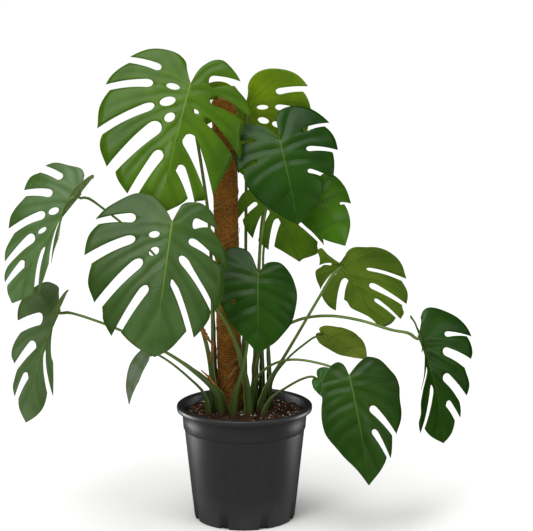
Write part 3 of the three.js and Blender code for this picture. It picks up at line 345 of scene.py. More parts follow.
def along_vein(vein, row):
    """How far along a vein a row lies."""
    for k in range(1, len(ROW_MARKS)):
        if row <= ROW_MARKS[k]:
            share = (row - ROW_MARKS[k - 1]) / (ROW_MARKS[k] - ROW_MARKS[k - 1])
            return lerp(vein.marks[k - 1], vein.marks[k], share)
    return lerp(vein.marks[-1], 1, (row - SPLIT_ROW) / (1 - SPLIT_ROW))


def vein_point(points, vein, row, side, corner):
    """A point on one side of a vein: +1 is the side towards the tip, which starts the next lobe."""
    s = along_vein(vein, row)
    if vein.kind == "sinus":
        return margin_point(points, s * vein.after)
    if vein.kind == "tip":
        return Vector((0, 1))
    inner = Vector((0, vein.at)).lerp(vein.control, s)
    outer = vein.control.lerp(vein.end, s)
    across = (outer - inner).normalized().orthogonal()
    if across.y < 0:
        across = -across
    here = inner.lerp(outer, s)
    if not vein.open or s <= vein.split:
        begin, finish, hole_width = vein.hole
        if hole_width > 0 and begin < s < finish:
            reach = (2 * s - begin - finish) / (finish - begin)
            here += across * side * (hole_width / 2 * math.sqrt(1 - reach * reach))
        return here
    x = (s - vein.split) / (1 - vein.split)
    rise = math.sqrt(1 - (1 - min(1, x / ROUND_END)) ** 2)
    return here + across * side * vein.width / 2 * rise * (1 - x) + (corner - vein.end) * x


def nearest_place(places, wanted):
    return min(range(len(places)), key=lambda i: abs(places[i] - wanted))


def settled(rows_of_points):
    """Evens out a grid of flat points inside its fixed edges, so that no cell folds over another."""
    grid = numpy.array(rows_of_points)
    for _ in range(SETTLE_ROUNDS):
        above, below = grid[:-2, 1:-1], grid[2:, 1:-1]
        left, right = grid[1:-1, :-2], grid[1:-1, 2:]
        down, across = (below - above) / 2, (right - left) / 2
        shear = (grid[2:, 2:] - grid[2:, :-2] - grid[:-2, 2:] + grid[:-2, :-2]) / 4
        wide, tall, skew = (product.sum(-1, keepdims=True)
                            for product in (across * across, down * down, down * across))
        even = wide * (above + below) + tall * (left + right) - 2 * skew * shear
        grid[1:-1, 1:-1] = even / (2 * (wide + tall) + 1e-12)
    return grid


def from_line(points, line):
    """How far each point of a flat grid is from a line, and how far along the line it lies."""
    starts, steps = line[:-1], line[1:] - line[:-1]
    lengths = numpy.linalg.norm(steps, axis=1) + 1e-9
    runs = numpy.cumsum(lengths) - lengths
    apart = points[:, :, None] - starts
    share = ((apart * steps).sum(-1) / lengths ** 2).clip(0, 1)
    gaps = numpy.linalg.norm(apart - share[..., None] * steps, axis=-1)
    nearest = gaps.argmin(-1)[..., None]
    return [numpy.take_along_axis(each, nearest, -1)[..., 0] for each in (gaps, runs + share * lengths)]


class Lobe:
    """The part of a half blade between two of its veins; t runs across it towards the tip."""

    def __init__(self, side, points, first, second, number, seed):
        self.side, self.points, self.number, self.seed = side, points, number, seed
        self.first, self.second = first, second
        # Where the lobe's own vein runs
        self.middle = 0.4 if second.kind == "tip" else 0.5
        self.edge_a = margin_point(points, first.after)
        self.edge_b = margin_point(points, second.before)
        breadth = (self.edge_a - self.edge_b).length
        self.corner_a, self.corner_b = self.edge_a, self.edge_b
        if first.open:
            self.corner_a = self.edge_a - first.outward * SHOULDER * breadth
        if second.open:
            self.corner_b = self.edge_b + second.outward * HOOK * breadth

    @cache
    def outer(self, t):
        """The lobe's margin, drawn out to its shoulder and its hook."""
        here = margin_point(self.points, lerp(self.first.after, self.second.before, t))
        return (here + (self.corner_a - self.edge_a) * (1 - t) ** 3
                + (self.corner_b - self.edge_b) * t ** 4)

    def inner(self, t):
        return Vector((0, lerp(self.first.at, self.second.at, t)))

    @cache
    def rails(self, row):
        """The lobe's two sides at a row."""
        return (vein_point(self.points, self.first, row, 1, self.corner_a),
                vein_point(self.points, self.second, row, -1, self.corner_b))

    @cache
    def point(self, t, row):
        """A point of the flat blade, as fractions of its length."""
        side_a, side_b = self.rails(row)
        along = self.inner(t).lerp(self.outer(t), row)
        corners = (self.inner(0).lerp(self.outer(0), row)).lerp(self.inner(1).lerp(self.outer(1), row), t)
        return along + side_a.lerp(side_b, t) - corners

    def droop(self, vein, number, after):
        """How far the lobe's tip hangs at one of its two veins."""
        if vein.kind == "tip":
            return 0.0
        return LOBE_DROOP * (chance(self.seed + 2 * number + (1 if vein.open and after else 0)) - 0.6)

    def lift(self, t, row):
        """How far the lobe stands off the plain bent blade."""
        past = clamp((row - SPLIT_ROW) / (1 - SPLIT_ROW))
        drop = lerp(self.droop(self.first, self.number, True),
                    self.droop(self.second, self.number + 1, False), t) * past * past
        if self.second.kind == "tip" and t > 0.5:
            return drop
        return drop - LOBE_CUP * (2 * t - 1) ** 2 * clamp(row / SPLIT_ROW)


class Blade:
    """A leaf's place, its own directions along, right and out of its face, and its lobes."""

    def __init__(self, number, leaf):
        self.number, self.leaf = number, leaf
        self.name = f"leaf_{number:02d}"
        self.slot = next(part["material_slot"] for part in frame["record"]["subparts"]
                         if part["node"] == self.name + "_blade")
        self.base = Vector(leaf["base"]) * MM
        reach = Vector(leaf["tip"]) * MM - self.base
        self.length = reach.length
        self.along = reach.normalized()
        azimuth, elevation = (math.radians(a) for a in leaf["faces"])
        facing = on_circle(azimuth - math.pi / 2, math.cos(elevation), math.sin(elevation))
        self.face = (facing - self.along * facing.dot(self.along)).normalized()
        self.right = self.face.cross(self.along)
        self.lobes = []
        for side, name in ((-1, "left"), (1, "right")):
            points = [Vector((0, 0)), *(Vector(p) / 100 for p in leaf[name]), Vector((0, 1))]
            veins = half_veins(points, leaf[name + "_cuts"])
            seed = 40 * number + 17 * side
            self.lobes += [Lobe(side, points, *pair, j, seed)
                           for j, pair in enumerate(zip(veins, veins[1:]))]

    def place(self, side, flat, lift):
        """Bends a point of the flat blade into its place."""
        half = 1 if side > 0 else 0
        u, v = float(flat[0]), float(flat[1])
        folds = (self.leaf["fold"][half], self.leaf.get("tip_fold", self.leaf["fold"])[half])
        fold = math.radians(lerp(*folds, clamp(v)))
        curl = math.radians(self.leaf["curl"][half])
        across = (math.sin(fold) - math.sin(fold - curl * u)) / curl
        rise = (math.cos(fold - curl * u) - math.cos(fold)) / curl
        arch = self.leaf["arch"] * 4 * v * (1 - v)
        return (self.base + self.along * v * self.length + self.right * side * across * self.length
                + self.face * (rise + arch + lift) * self.length)

    def dressed(self, lobe, flat, off_vein, t, row):
        """A point of the dressed blade: bent, waved, and sunk along the lobe's own vein."""
        near_midrib, near_margin = 0.1, 0.25
        away = clamp(abs(flat[0]) / 0.25)
        wave = noise.noise(Vector((lobe.side * flat[0] * WAVES_ACROSS, flat[1] * WAVES_ACROSS,
                                   self.number * 3.7)))
        fade = clamp(row / near_midrib) * clamp((1 - row) / near_margin)
        inside = 1 - (2 * t - 1) ** 4
        depth = GROOVE_DEPTH / self.length * fade
        groove = depth * inside * math.exp(-(off_vein / GROOVE_HALF) ** 2)
        lift = lobe.lift(t, row) + WAVE_HEIGHT * wave * away + SWELLING * depth - groove
        return self.place(lobe.side, flat, lift)

    def stations(self, columns):
        """Where columns meet the midrib, the same for both halves so that they share its points."""
        marks = sorted({round(vein.at, 4) for lobe in self.lobes for vein in (lobe.first, lobe.second)})
        result = [0.0]
        for low, high in zip(marks, marks[1:]):
            need = 2
            for lobe in self.lobes:
                if lobe.first.at <= low + TINY and high <= lobe.second.at + TINY:
                    whole = columns * (2 if lobe.number == 0 else 1)
                    need = max(need, math.ceil(whole * (high - low) / (lobe.second.at - lobe.first.at)))
            result += [lerp(low, high, k / need) for k in range(1, need + 1)]
        return result

    def grids(self, columns):
        """Each lobe's grid: its flat points, their distance off and along its vein, and their spots."""
        stations = self.stations(columns)
        result = []
        for lobe in self.lobes:
            low, high = lobe.first.at, lobe.second.at
            places = [(s - low) / (high - low) for s in stations if low - TINY < s < high + TINY]
            flats = settled([[lobe.point(t, row) for t in places] for row in ROWS])
            heart = flats[:, nearest_place(places, lobe.middle)]
            off, down = (part * self.length for part in from_line(flats, heart))
            spots = [[self.dressed(lobe, flats[j, i], off[j, i], t, row) for i, t in enumerate(places)]
                     for j, row in enumerate(ROWS)]
            result.append(SimpleNamespace(lobe=lobe, places=places, flats=flats, off=off, down=down,
                                          spots=spots))
        return result


BLADES = [Blade(number, leaf) for number, leaf in enumerate(LEAVES, 1)]


# Materials


class Wire:
    """A socket of a material's nodes; arithmetic on it adds Math nodes to the same tree."""

    def __init__(self, material, socket=None):
        self.material = material
        self.socket = socket

    def node(self, kind, settings=None, inputs=None, output=0):
        """Adds a node with its settings and the values or wires of its inputs; gives one of its outputs."""
        tree = self.material.node_tree
        made = tree.nodes.new("ShaderNode" + kind)
        for key, value in (settings or {}).items():
            setattr(made, key, value)
        for key, value in (inputs or {}).items():
            if isinstance(value, Wire):
                tree.links.new(value.socket, made.inputs[key])
            else:
                made.inputs[key].default_value = value
        return Wire(self.material, made.outputs[output])

    def math(self, operation, other=0.0):
        return self.node("Math", {"operation": operation}, {0: self, 1: other})

    __add__ = __radd__ = partialmethod(math, "ADD")
    __mul__ = __rmul__ = partialmethod(math, "MULTIPLY")
    __sub__ = partialmethod(math, "SUBTRACT")
    __truediv__ = partialmethod(math, "DIVIDE")
    __abs__ = partialmethod(math, "ABSOLUTE")

    def __rsub__(self, other):
        return self.node("Math", {"operation": "SUBTRACT"}, {0: other, 1: self})

    def clamped(self):
        return self.node("Math", {"use_clamp": True}, {0: self, 1: 0.0})

    def smooth(self, low, high):
        """0 below low, 1 above high, and a soft step between."""
        return self.node("MapRange", {"interpolation_type": "SMOOTHSTEP"}, {0: self, 1: low, 2: high})

    def ridges(self):
        """1 on whole numbers, falling to 0 halfway between them."""
        return abs(self.math("FRACT") - 0.5) * 2

    def parts(self):
        return [self.node("SeparateXYZ", None, {0: self}, k) for k in range(3)]

    def stretched(self, along):
        return self.node("Mapping", {"vector_type": "POINT"}, {0: self, 3: (1, 1, along)})

    def noise(self, scale, detail=2.0, roughness=0.5):
        inputs = {"Vector": self, "Scale": scale, "Detail": detail, "Roughness": roughness}
        return self.node("TexNoise", None, inputs)

    def cells(self, scale, feature="F1", output=0):
        return self.node("TexVoronoi", {"feature": feature}, {"Vector": self, "Scale": scale}, output)

    def mixed(self, first, second):
        """Mixes two colours by this factor, which the node keeps from 0 to 1."""
        return self.node("Mix", {"data_type": "RGBA"}, {0: self, 6: first, 7: second}, 2)

    def shades(self, tone, dark, light):
        """Mixes a darker and a lighter form of a tone by this factor."""
        return self.mixed(tinted(tone, dark), tinted(tone, light))

    def finished(self, roughness, height=None, bump=0.3, depth=0.001, **constants):
        """Sends this colour, the roughness and the relief to the shader; gives the material."""
        inputs = {"Base Color": self, "Roughness": roughness}
        if height is not None:
            relief = {"Strength": bump, "Distance": depth, "Height": height}
            inputs["Normal"] = self.node("Bump", None, relief)
        inputs.update({key.replace("_", " "): value for key, value in constants.items()})
        tree = self.material.node_tree
        result = tree.nodes.new("ShaderNodeOutputMaterial")
        tree.links.new(self.node("BsdfPrincipled", None, inputs).socket, result.inputs["Surface"])
        return self.material


def painted(name, source):
    """Starts a material: the wire of a piece's own attribute, or of its place in object coordinates."""
    material = bpy.data.materials.new(name)
    material.use_nodes = True
    material.node_tree.nodes.clear()
    if source == "place":
        return Wire(material).node("TexCoord", output=3)
    return Wire(material).node("Attribute", {"attribute_name": source}, None, 1)


def leaf_face(name, tone, vein_tone, upper, gloss, length):
    """One face of a blade: midrib, side veins, the fine veins between them, uneven green with painted sheen,
    and painted shade along each lobe's vein.
    """
    flat = painted(name, "flat")
    across, along, _ = flat.parts()
    off_vein, down_vein, _ = flat.node("UVMap", {"uv_map": "lobe"}).parts()
    off_vein = abs(off_vein)
    mid = abs(across)
    patch = flat.noise(13, 3, 0.55)
    mottle = flat.noise(46, 3, 0.6)
    speck = flat.noise(240, 3, 0.6)
    fade = 1 - along.smooth(0.2 * length, 0.85 * length)
    rib_half = length * (0.0075 if upper else 0.011)
    rib = 1 - mid.smooth(rib_half * 0.45, rib_half)
    side_reach = 1 - down_vein.smooth(0.1 * length, 0.36 * length)
    side_half = (0.0013 - down_vein * 0.009).math("MAXIMUM", 0.0005)
    side_vein = 1 - (off_vein / side_half).smooth(0.3, 1.4)
    # Where the groove along the lobe's own vein runs, for its painted shade
    groove_shade = 1 - off_vein.smooth(0.0, 0.0085)
    between = ((down_vein - off_vein * 0.75) * 170 + mottle * 1.3).ridges()
    fine = between.smooth(0.82, 1.0)
    net = flat.cells(520, "DISTANCE_TO_EDGE").smooth(0.0, 0.3)
    # The patches mix a deep, saturated green with a paler, greyer one. They are partly the leaf's own uneven
    # green and partly painted sheen: the pale patches stand for light caught by the glossy face, and they
    # thin out towards the margins.
    deep = tinted(tone, 0.62, (tone[0] * 0.6, tone[1] * 0.8, tone[2] * 0.1), 0.5)
    pale = tinted(tone, 1.2, (tone[0] * 1.5, tone[1] * 1.3, tone[2] * 2.2), 0.4)
    outer = mid.smooth(0.1 * length, 0.45 * length)
    colour = (patch * 2.6 - 0.5 - outer * 0.55).mixed(deep, pale)
    colour = ((mottle - 0.4) * 0.9).mixed(colour, tinted(tone, 0.86))
    colour = ((speck - 0.5) * 0.7).mixed(colour, tinted(tone, 1.3))
    # Painted shade in the groove along each lobe's vein: strong on the upper face, faint on the underside.
    colour = (groove_shade * (0.5 if upper else 0.1)).mixed(colour, deep)
    glow = (1 - (mid * mid + along * along).smooth(0.0, (0.14 * length) ** 2)) * 0.4
    glow += (1 - mid.smooth(0.0, 0.03 * length)) * fade * 0.22
    colour = glow.mixed(colour, tinted(vein_tone, 0.62, tone, 0.45))
    side_mask = side_vein * (side_reach * 0.13 + 0.01 if upper else side_reach * 0.3 + 0.3)
    fine_mask = fine * (0.045 if upper else 0.2)
    veins = side_mask.math("MAXIMUM", fine_mask).math("MAXIMUM", rib * (fade * 0.8 + 0.15))
    colour = veins.mixed(colour, vein_tone)
    to_edge = flat.node("Attribute", {"attribute_name": "edge"}, None, 2)
    colour = ((1 - to_edge.smooth(0.0002, 0.0014)) * 0.3).mixed(colour, vein_tone)
    colour = ((along - length).smooth(-0.005, -0.001) * 0.7).mixed(colour, rgb("3a3226"))
    roughness = (gloss + mottle * 0.16 + rib * 0.12).clamped()
    if upper:
        height = 0.5 - between * between * 0.5 + net * 0.1 - side_vein + speck * 0.3
        return colour.finished(roughness, height, 0.22, 0.0006, Specular_IOR_Level=0.24)
    height = side_vein * 1.4 + fine * 0.5 + rib - net * 0.3 + speck * 0.3
    return colour.finished(roughness, height, 0.4, 0.0006, Specular_IOR_Level=0.18)


def stalk_skin(name, tone, foot_tone, wing_tone):
    """A petiole: fine lengthwise streaks, pale freckles, a darker foot and pale edges to its sheath."""
    grain = painted(name, "grain")
    around, beside, along = grain.parts()
    wing = 1 - abs(abs(beside.math("ARCTAN2", around)) - WING_ANGLE).smooth(0.03, 0.24)
    streak = grain.stretched(0.05).noise(900, 3, 0.6)
    freckle = grain.stretched(0.4).cells(420)
    patch = grain.noise(22, 2)
    colour = (streak * 1.6 - 0.3).shades(tone, 0.7, 1.3)
    colour = ((patch - 0.4) * 1.6).mixed(colour, tinted(tone, 1.25, wing_tone, 0.25))
    foot = (streak * 0.8).mixed(foot_tone, tinted(tone, 0.75))
    colour = ((1 - along.smooth(0.05, 0.24)) * 0.8).mixed(colour, foot)
    colour = ((1 - freckle.smooth(0.0, 0.22)) * 0.3).mixed(colour, tinted(tone, 1.9))
    colour = (wing * (1 - along.smooth(0.12, 0.4)) * 0.75).mixed(colour, wing_tone)
    colour = (1 - along.smooth(0.028, 0.05)).mixed(colour, rgb("4a3320"))
    return colour.finished((0.36 + patch * 0.2).clamped(), streak, 0.25, 0.0005,
                           Coat_Weight=0.1, Coat_Roughness=0.3)


def papery_sheath(name, tone):
    """The withered edge of a leaf sheath: dry, streaked and papery."""
    grain = painted(name, "grain")
    streak = grain.stretched(0.06).noise(1500, 4, 0.65)
    colour = (streak * 3 - 1).shades(tone, 0.3, 1.3)
    colour = ((grain.noise(90, 3) - 0.5) * 1.6).mixed(colour, rgb("c2904a"))
    return colour.finished(0.6, streak, 0.8, 0.0008)


def vein_skin(name, vein_tone, leaf_tone, length):
    """The raised midrib and side veins, pale at the stalk and leaf-green towards their ends."""
    grain = painted(name, "grain")
    streak = grain.stretched(0.06).noise(1200, 2)
    fresh = (streak * 1.5 - 0.25).shades(vein_tone, 0.8, 1.15)
    colour = grain.parts()[2].smooth(0.12 * length, 0.8 * length).mixed(fresh, tinted(leaf_tone, 1.1))
    return colour.finished(0.42, streak, 0.15, 0.0004)


def coir_fibre(name, tone, dark, fine):
    """Matted coconut fibre round the pole, wound in close turns low down, with painted shade between the
    fibres and in the grooves between the turns.
    """
    place = painted(name, "place")
    height_up = place.parts()[2]
    tangle = place.stretched(3.2).noise(150, 6, 0.7)
    thread = place.stretched(5.5).noise(420, 4, 0.65)
    patch = place.noise(19, 3)
    ridge = (height_up * 300 + tangle * 0.9).ridges()
    wound_part = height_up.smooth(0.27, 0.3) * (1 - height_up.smooth(0.325, 0.35))
    # The deep colour is partly the darker fibres' own colour and partly painted shade in the gaps between
    # the fibres.
    colour = (tangle * 2.8 + thread * 1.8 + patch * 1.8 - 2.75).mixed(dark, tone)
    colour = ((thread - 0.5) * 5).mixed(colour, fine)
    # Painted shade in the grooves between the wound turns.
    colour = ((1 - ridge.smooth(0.1, 0.6)) * wound_part * 0.6).mixed(colour, dark)
    height = thread + tangle + ridge * wound_part * 1.4
    return colour.finished((0.88 + patch * 0.1).clamped(), height, 0.9, 0.0022, Specular_IOR_Level=0.15)


def strand_fibre(name, tone):
    """Twine, loose coir strands and aerial roots: lengthwise fibres."""
    grain = painted(name, "grain")
    streak = grain.stretched(0.12).noise(1400, 3, 0.6)
    colour = (streak * 1.2 + grain.noise(60, 2) * 0.6 - 0.4).shades(tone, 0.5, 1.35)
    return colour.finished(0.85, streak, 0.5, 0.0006, Specular_IOR_Level=0.2)


def crumbly_soil(name, tone):
    """Moist peat: dark crumbs with paler fibres."""
    place = painted(name, "place")
    grit = place.noise(520, 5, 0.7)
    colour = (place.noise(26, 4, 0.6) * 1.8 - 0.4).shades(tone, 0.55, 1.5)
    colour = ((grit - 0.56) * 5).mixed(colour, tinted(tone, 2.6, rgb("a8845a"), 0.3))
    height = grit - place.cells(190) * 1.2
    return colour.finished((0.8 + grit * 0.2).clamped(), height, 0.9, 0.003, Specular_IOR_Level=0.25)


def granule(name, tone, spread, roughness):
    """Perlite, bark bits or peat crumbs, each a little different in colour."""
    place = painted(name, "place")
    each = place.cells(130, output=1).parts()[0]
    grit = place.noise(900, 3)
    colour = each.shades(tone, 1 - spread, 1 + spread * 0.6)
    colour = ((grit - 0.5) * 0.8).mixed(colour, tinted(tone, 0.6))
    return colour.finished(roughness, grit, 0.5, 0.0006, Specular_IOR_Level=0.3)


def pot_plastic(name, tone, roughness):
    """Moulded black plastic: a faint orange-peel skin, scuffs and dust towards the base."""
    place = painted(name, "place")
    cloud = place.noise(9, 4, 0.6)
    scuff = place.stretched(0.1).noise(190, 5, 0.7).smooth(0.55, 0.8)
    dust = (1 - place.parts()[2].smooth(0.0, 0.07)) * cloud
    colour = (cloud * 0.9).shades(tone, 0.85, 1.25)
    colour = (scuff * 0.12 + dust * 0.2).mixed(colour, rgb("6c6964"))
    finish = (roughness + cloud * 0.14 + scuff * 0.16 + dust * 0.1).clamped()
    return colour.finished(finish, place.noise(620, 3, 0.55), 0.14, 0.0004, Specular_IOR_Level=0.5)


def raw_wood(name, tone):
    """The cut end of the pole's wooden core."""
    ring = painted(name, "place").stretched(0.08).noise(240, 4, 0.6)
    return (ring * 1.6 - 0.3).shades(tone, 0.6, 1.2).finished(0.75, ring, 0.4, 0.0006)


def floor_paint(name, tone):
    cloud = painted(name, "place").noise(0.7, 2)
    return cloud.shades(tone, 0.985, 1.0).finished(0.9, Specular_IOR_Level=0.1)

# Mesh tools


def placed(name, data):
    """A new object of the scene, unturned at the origin."""
    made = bpy.data.objects.new(name, data)
    bpy.context.scene.collection.objects.link(made)
    return made


def mesh_of(name, bm):
    mesh = bpy.data.meshes.new(name)
    bm.to_mesh(mesh)
    bm.free()
    return mesh


def add_piece(name, bm, slot, materials, *nodes, smooth=True):
    """Turns a bmesh into a finished piece that rides on the plant."""
    for face in bm.faces:
        face.smooth = smooth
    piece = placed(name, mesh_of(name, bm))
    for material in materials:
        piece.data.materials.append(material)
    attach(piece, "root")
    if nodes:
        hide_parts(*nodes)
    return piece


def thicken(piece, thickness):
    shell = piece.modifiers.new("thickness", "SOLIDIFY")
    shell.thickness = thickness
    shell.offset = 0
    return shell


def spun(outline, steps, closed=False):
    """A round body: an outline of (radius, height) spun about the upright axis."""
    bm = bmesh.new()
    verts = [bm.verts.new((r, 0, z)) for r, z in outline]
    ends = verts[:1] if closed else []
    edges = [bm.edges.new(pair) for pair in zip(verts, verts[1:] + ends)]
    bmesh.ops.spin(bm, geom=verts + edges, cent=(0, 0, 0), axis=(0, 0, 1), angle=TURN, steps=steps,
                   use_merge=True)
    bmesh.ops.remove_doubles(bm, verts=bm.verts, dist=0.01 * MM)
    bmesh.ops.recalc_face_normals(bm, faces=bm.faces)
    return bm


def ring_edges(bm, ring):
    return [bm.edges.get(pair) for pair in zip(ring, ring[1:] + ring[:1])]


def swept(tubes, sides, section=None, toward=None):
    """Closed tubes, each along a path with its own radii, drawn out together ring by ring.

    A section gives the reach of a corner by its angle and its share of the way along; angle 0 looks
    towards the given point. The grain attribute runs round and along each tube.
    """
    bm = bmesh.new()
    grain = bm.verts.layers.float_vector.new("grain")
    reach = section or (lambda angle, share: 1.0)
    fronts = []
    for path, radii in tubes:
        ring = bmesh.ops.create_circle(bm, cap_ends=True, segments=sides, radius=1)["verts"]
        heading = (path[1] - path[0]).normalized()
        turn = heading.to_track_quat("Z", "X")
        if toward:
            side = toward - path[0]
            side = (side - heading * side.dot(heading)).normalized()
            turn = Matrix((side, heading.cross(side), heading)).transposed().to_quaternion()
        shape = [vert.co.copy() for vert in ring]
        for vert, corner in zip(ring, shape):
            vert[grain] = corner * radii[0]
            vert.co = path[0] + turn @ (corner * radii[0] * reach(math.atan2(corner.y, corner.x), 0))
        fronts.append(SimpleNamespace(path=path, radii=radii, ring=ring, turn=turn, shape=shape, length=0))
    ends = []
    step = 0
    while fronts:
        step += 1
        rims = [edge for front in fronts for edge in ring_edges(bm, front.ring)]
        made = bmesh.ops.extrude_edge_only(bm, edges=rims)["geom"]
        fresh = {g for g in made if isinstance(g, bmesh.types.BMVert)}
        for front in fronts:
            path = front.path
            front.ring = [next(top for edge in vert.link_edges if (top := edge.other_vert(vert)) in fresh)
                          for vert in front.ring]
            heading = (path[min(step + 1, len(path) - 1)] - path[step - 1]).normalized()
            front.turn = (front.turn @ Vector((0, 0, 1))).rotation_difference(heading) @ front.turn
            front.length += (path[step] - path[step - 1]).length
            share = step / (len(path) - 1)
            for vert, corner in zip(front.ring, front.shape):
                far = front.radii[step] * reach(math.atan2(corner.y, corner.x), share)
                vert.co = path[step] + front.turn @ (corner * far)
                vert[grain] = (corner.x * front.radii[0], corner.y * front.radii[0], front.length)
            if step == len(path) - 1:
                ends += ring_edges(bm, front.ring)
        fronts = [front for front in fronts if len(front.path) > step + 1]
    bmesh.ops.edgeloop_fill(bm, edges=ends)
    bmesh.ops.recalc_face_normals(bm, faces=bm.faces)
    return bm


def smooth_path(points, steps):
    """Evenly spaced points on the centripetal curve through the given points."""
    fine_steps = 24
    knots = [2 * points[0] - points[1], *points, 2 * points[-1] - points[-2]]
    dense = []
    for a, b, c, d in zip(knots, knots[1:], knots[2:], knots[3:]):
        gaps = [max((q - p).length, TINY) ** 0.5 for p, q in ((a, b), (b, c), (c, d))]
        lead = ((b - a) / gaps[0] - (c - a) / (gaps[0] + gaps[1]) + (c - b) / gaps[1]) * gaps[1]
        trail = ((c - b) / gaps[1] - (d - b) / (gaps[1] + gaps[2]) + (d - c) / gaps[2]) * gaps[1]
        for k in range(fine_steps):
            t = k / fine_steps
            dense.append(b + lead * t + (3 * (c - b) - 2 * lead - trail) * t ** 2
                         + (2 * (b - c) + lead + trail) * t ** 3)
    dense.append(points[-1])
    lengths = [0.0]
    for p, q in zip(dense, dense[1:]):
        lengths.append(lengths[-1] + (q - p).length)
    path = []
    k = 0
    for i in range(steps + 1):
        want = lengths[-1] * i / steps
        while k < len(dense) - 2 and lengths[k + 1] < want:
            k += 1
        path.append(dense[k].lerp(dense[k + 1], clamp((want - lengths[k]) / (lengths[k + 1] - lengths[k]))))
    return path


def soil_surface(x, y):
    """The height of the soil's surface: as in the part's source, with crumbs on it."""
    lump = math.sin(x / MM * 0.11 + 1.3) * math.cos(y / MM * 0.13 - 0.4)
    crumb = noise.fractal(Vector((x, y, 0)) * 95, 0.9, 2.0, 4) * 2.2 * MM
    return SOIL_EDGE + SOIL_CROWN * (1 - (math.hypot(x, y) / SOIL_RADIUS) ** 2) + SOIL_LUMP * lump + crumb


def pole_axis(height):
    """The middle of the leaning pole at a height."""
    return POLE_FOOT.lerp(POLE_TOP, (height - POLE_FOOT.z) / (POLE_TOP.z - POLE_FOOT.z))


# What a user would change


def colour_setting(name, description, tone):
    return FloatVectorProperty(name=name, description=description, size=4, default=rgb(tone),
                               subtype="COLOR", min=0, max=1)


def size_setting(name, description, size):
    return FloatProperty(name=name, description=description, default=size, unit="LENGTH")


def share_setting(name, description, share):
    return FloatProperty(name=name, description=description, default=share, min=0, max=1)


def count_setting(name, description, count, least=0):
    return IntProperty(name=name, description=description, default=count, min=least)


class PotSettings(bpy.types.PropertyGroup):
    rim_radius: size_setting("Rim radius", "Outside radius of the rim", 127 * MM)
    height: size_setting("Height", "Height of the rim above the floor", 216 * MM)
    base_radius: size_setting("Base radius", "Outside radius of the base", 95 * MM)
    colour: colour_setting("Colour", "Colour of the plastic", "2b2b2c")
    roughness: share_setting("Roughness", "How matt the plastic is", 0.36)


class SoilSettings(bpy.types.PropertyGroup):
    colour: colour_setting("Colour", "Colour of the moist soil", "3a281c")
    perlite: count_setting("Perlite", "Number of perlite grains on the surface", 560)
    bark: count_setting("Bark", "Number of bark bits on the surface", 620)
    seed: count_setting("Seed", "Where the grains fall", 7)


class PoleSettings(bpy.types.PropertyGroup):
    colour: colour_setting("Colour", "Colour of the coir", "a0651a")
    # The deep colour is partly the darker fibres' own and partly painted shade between the fibres and the
    # wound turns.
    shadow: colour_setting("Deep colour", "Colour between the fibres", "3c200a")
    strands: count_setting("Strands", "Number of loose fibres on the pole", 900)
    rootlets: count_setting("Rootlets", "Number of thin roots on the pole's foot", 16, 1)
    twine_colour: colour_setting("Twine colour", "Colour of the twine", "9a7a44")


class LeafSettings(bpy.types.PropertyGroup):
    thickness: size_setting("Thickness", "Thickness of a blade", 0.9 * MM)
    columns: count_setting("Columns", "Mesh columns across a lobe", 10, 3)
    gloss: share_setting("Roughness", "How matt the upper face is", 0.28)
    vein_colour: colour_setting("Vein colour", "Colour of the midrib and veins", "6e9020")
    stalk_colour: colour_setting("Stalk colour", "Colour of the petioles", "58732a")
    sheath_colour: colour_setting("Dry sheath colour", "Colour of the dry sheaths", "a35f18")


class StageSettings(bpy.types.PropertyGroup):
    floor_colour: colour_setting("Floor colour", "Colour of the studio floor", "fbfbfa")
    key_power: FloatProperty(name="Key light", description="Power of the main light", default=26,
                             unit="POWER")
    overhead: FloatProperty(name="Overhead light", description="Strength of the light from above",
                            default=2.25, min=0)
    world_light: FloatProperty(name="Surround", description="Strength of the light all round",
                               default=0.42, min=0)


# The pieces


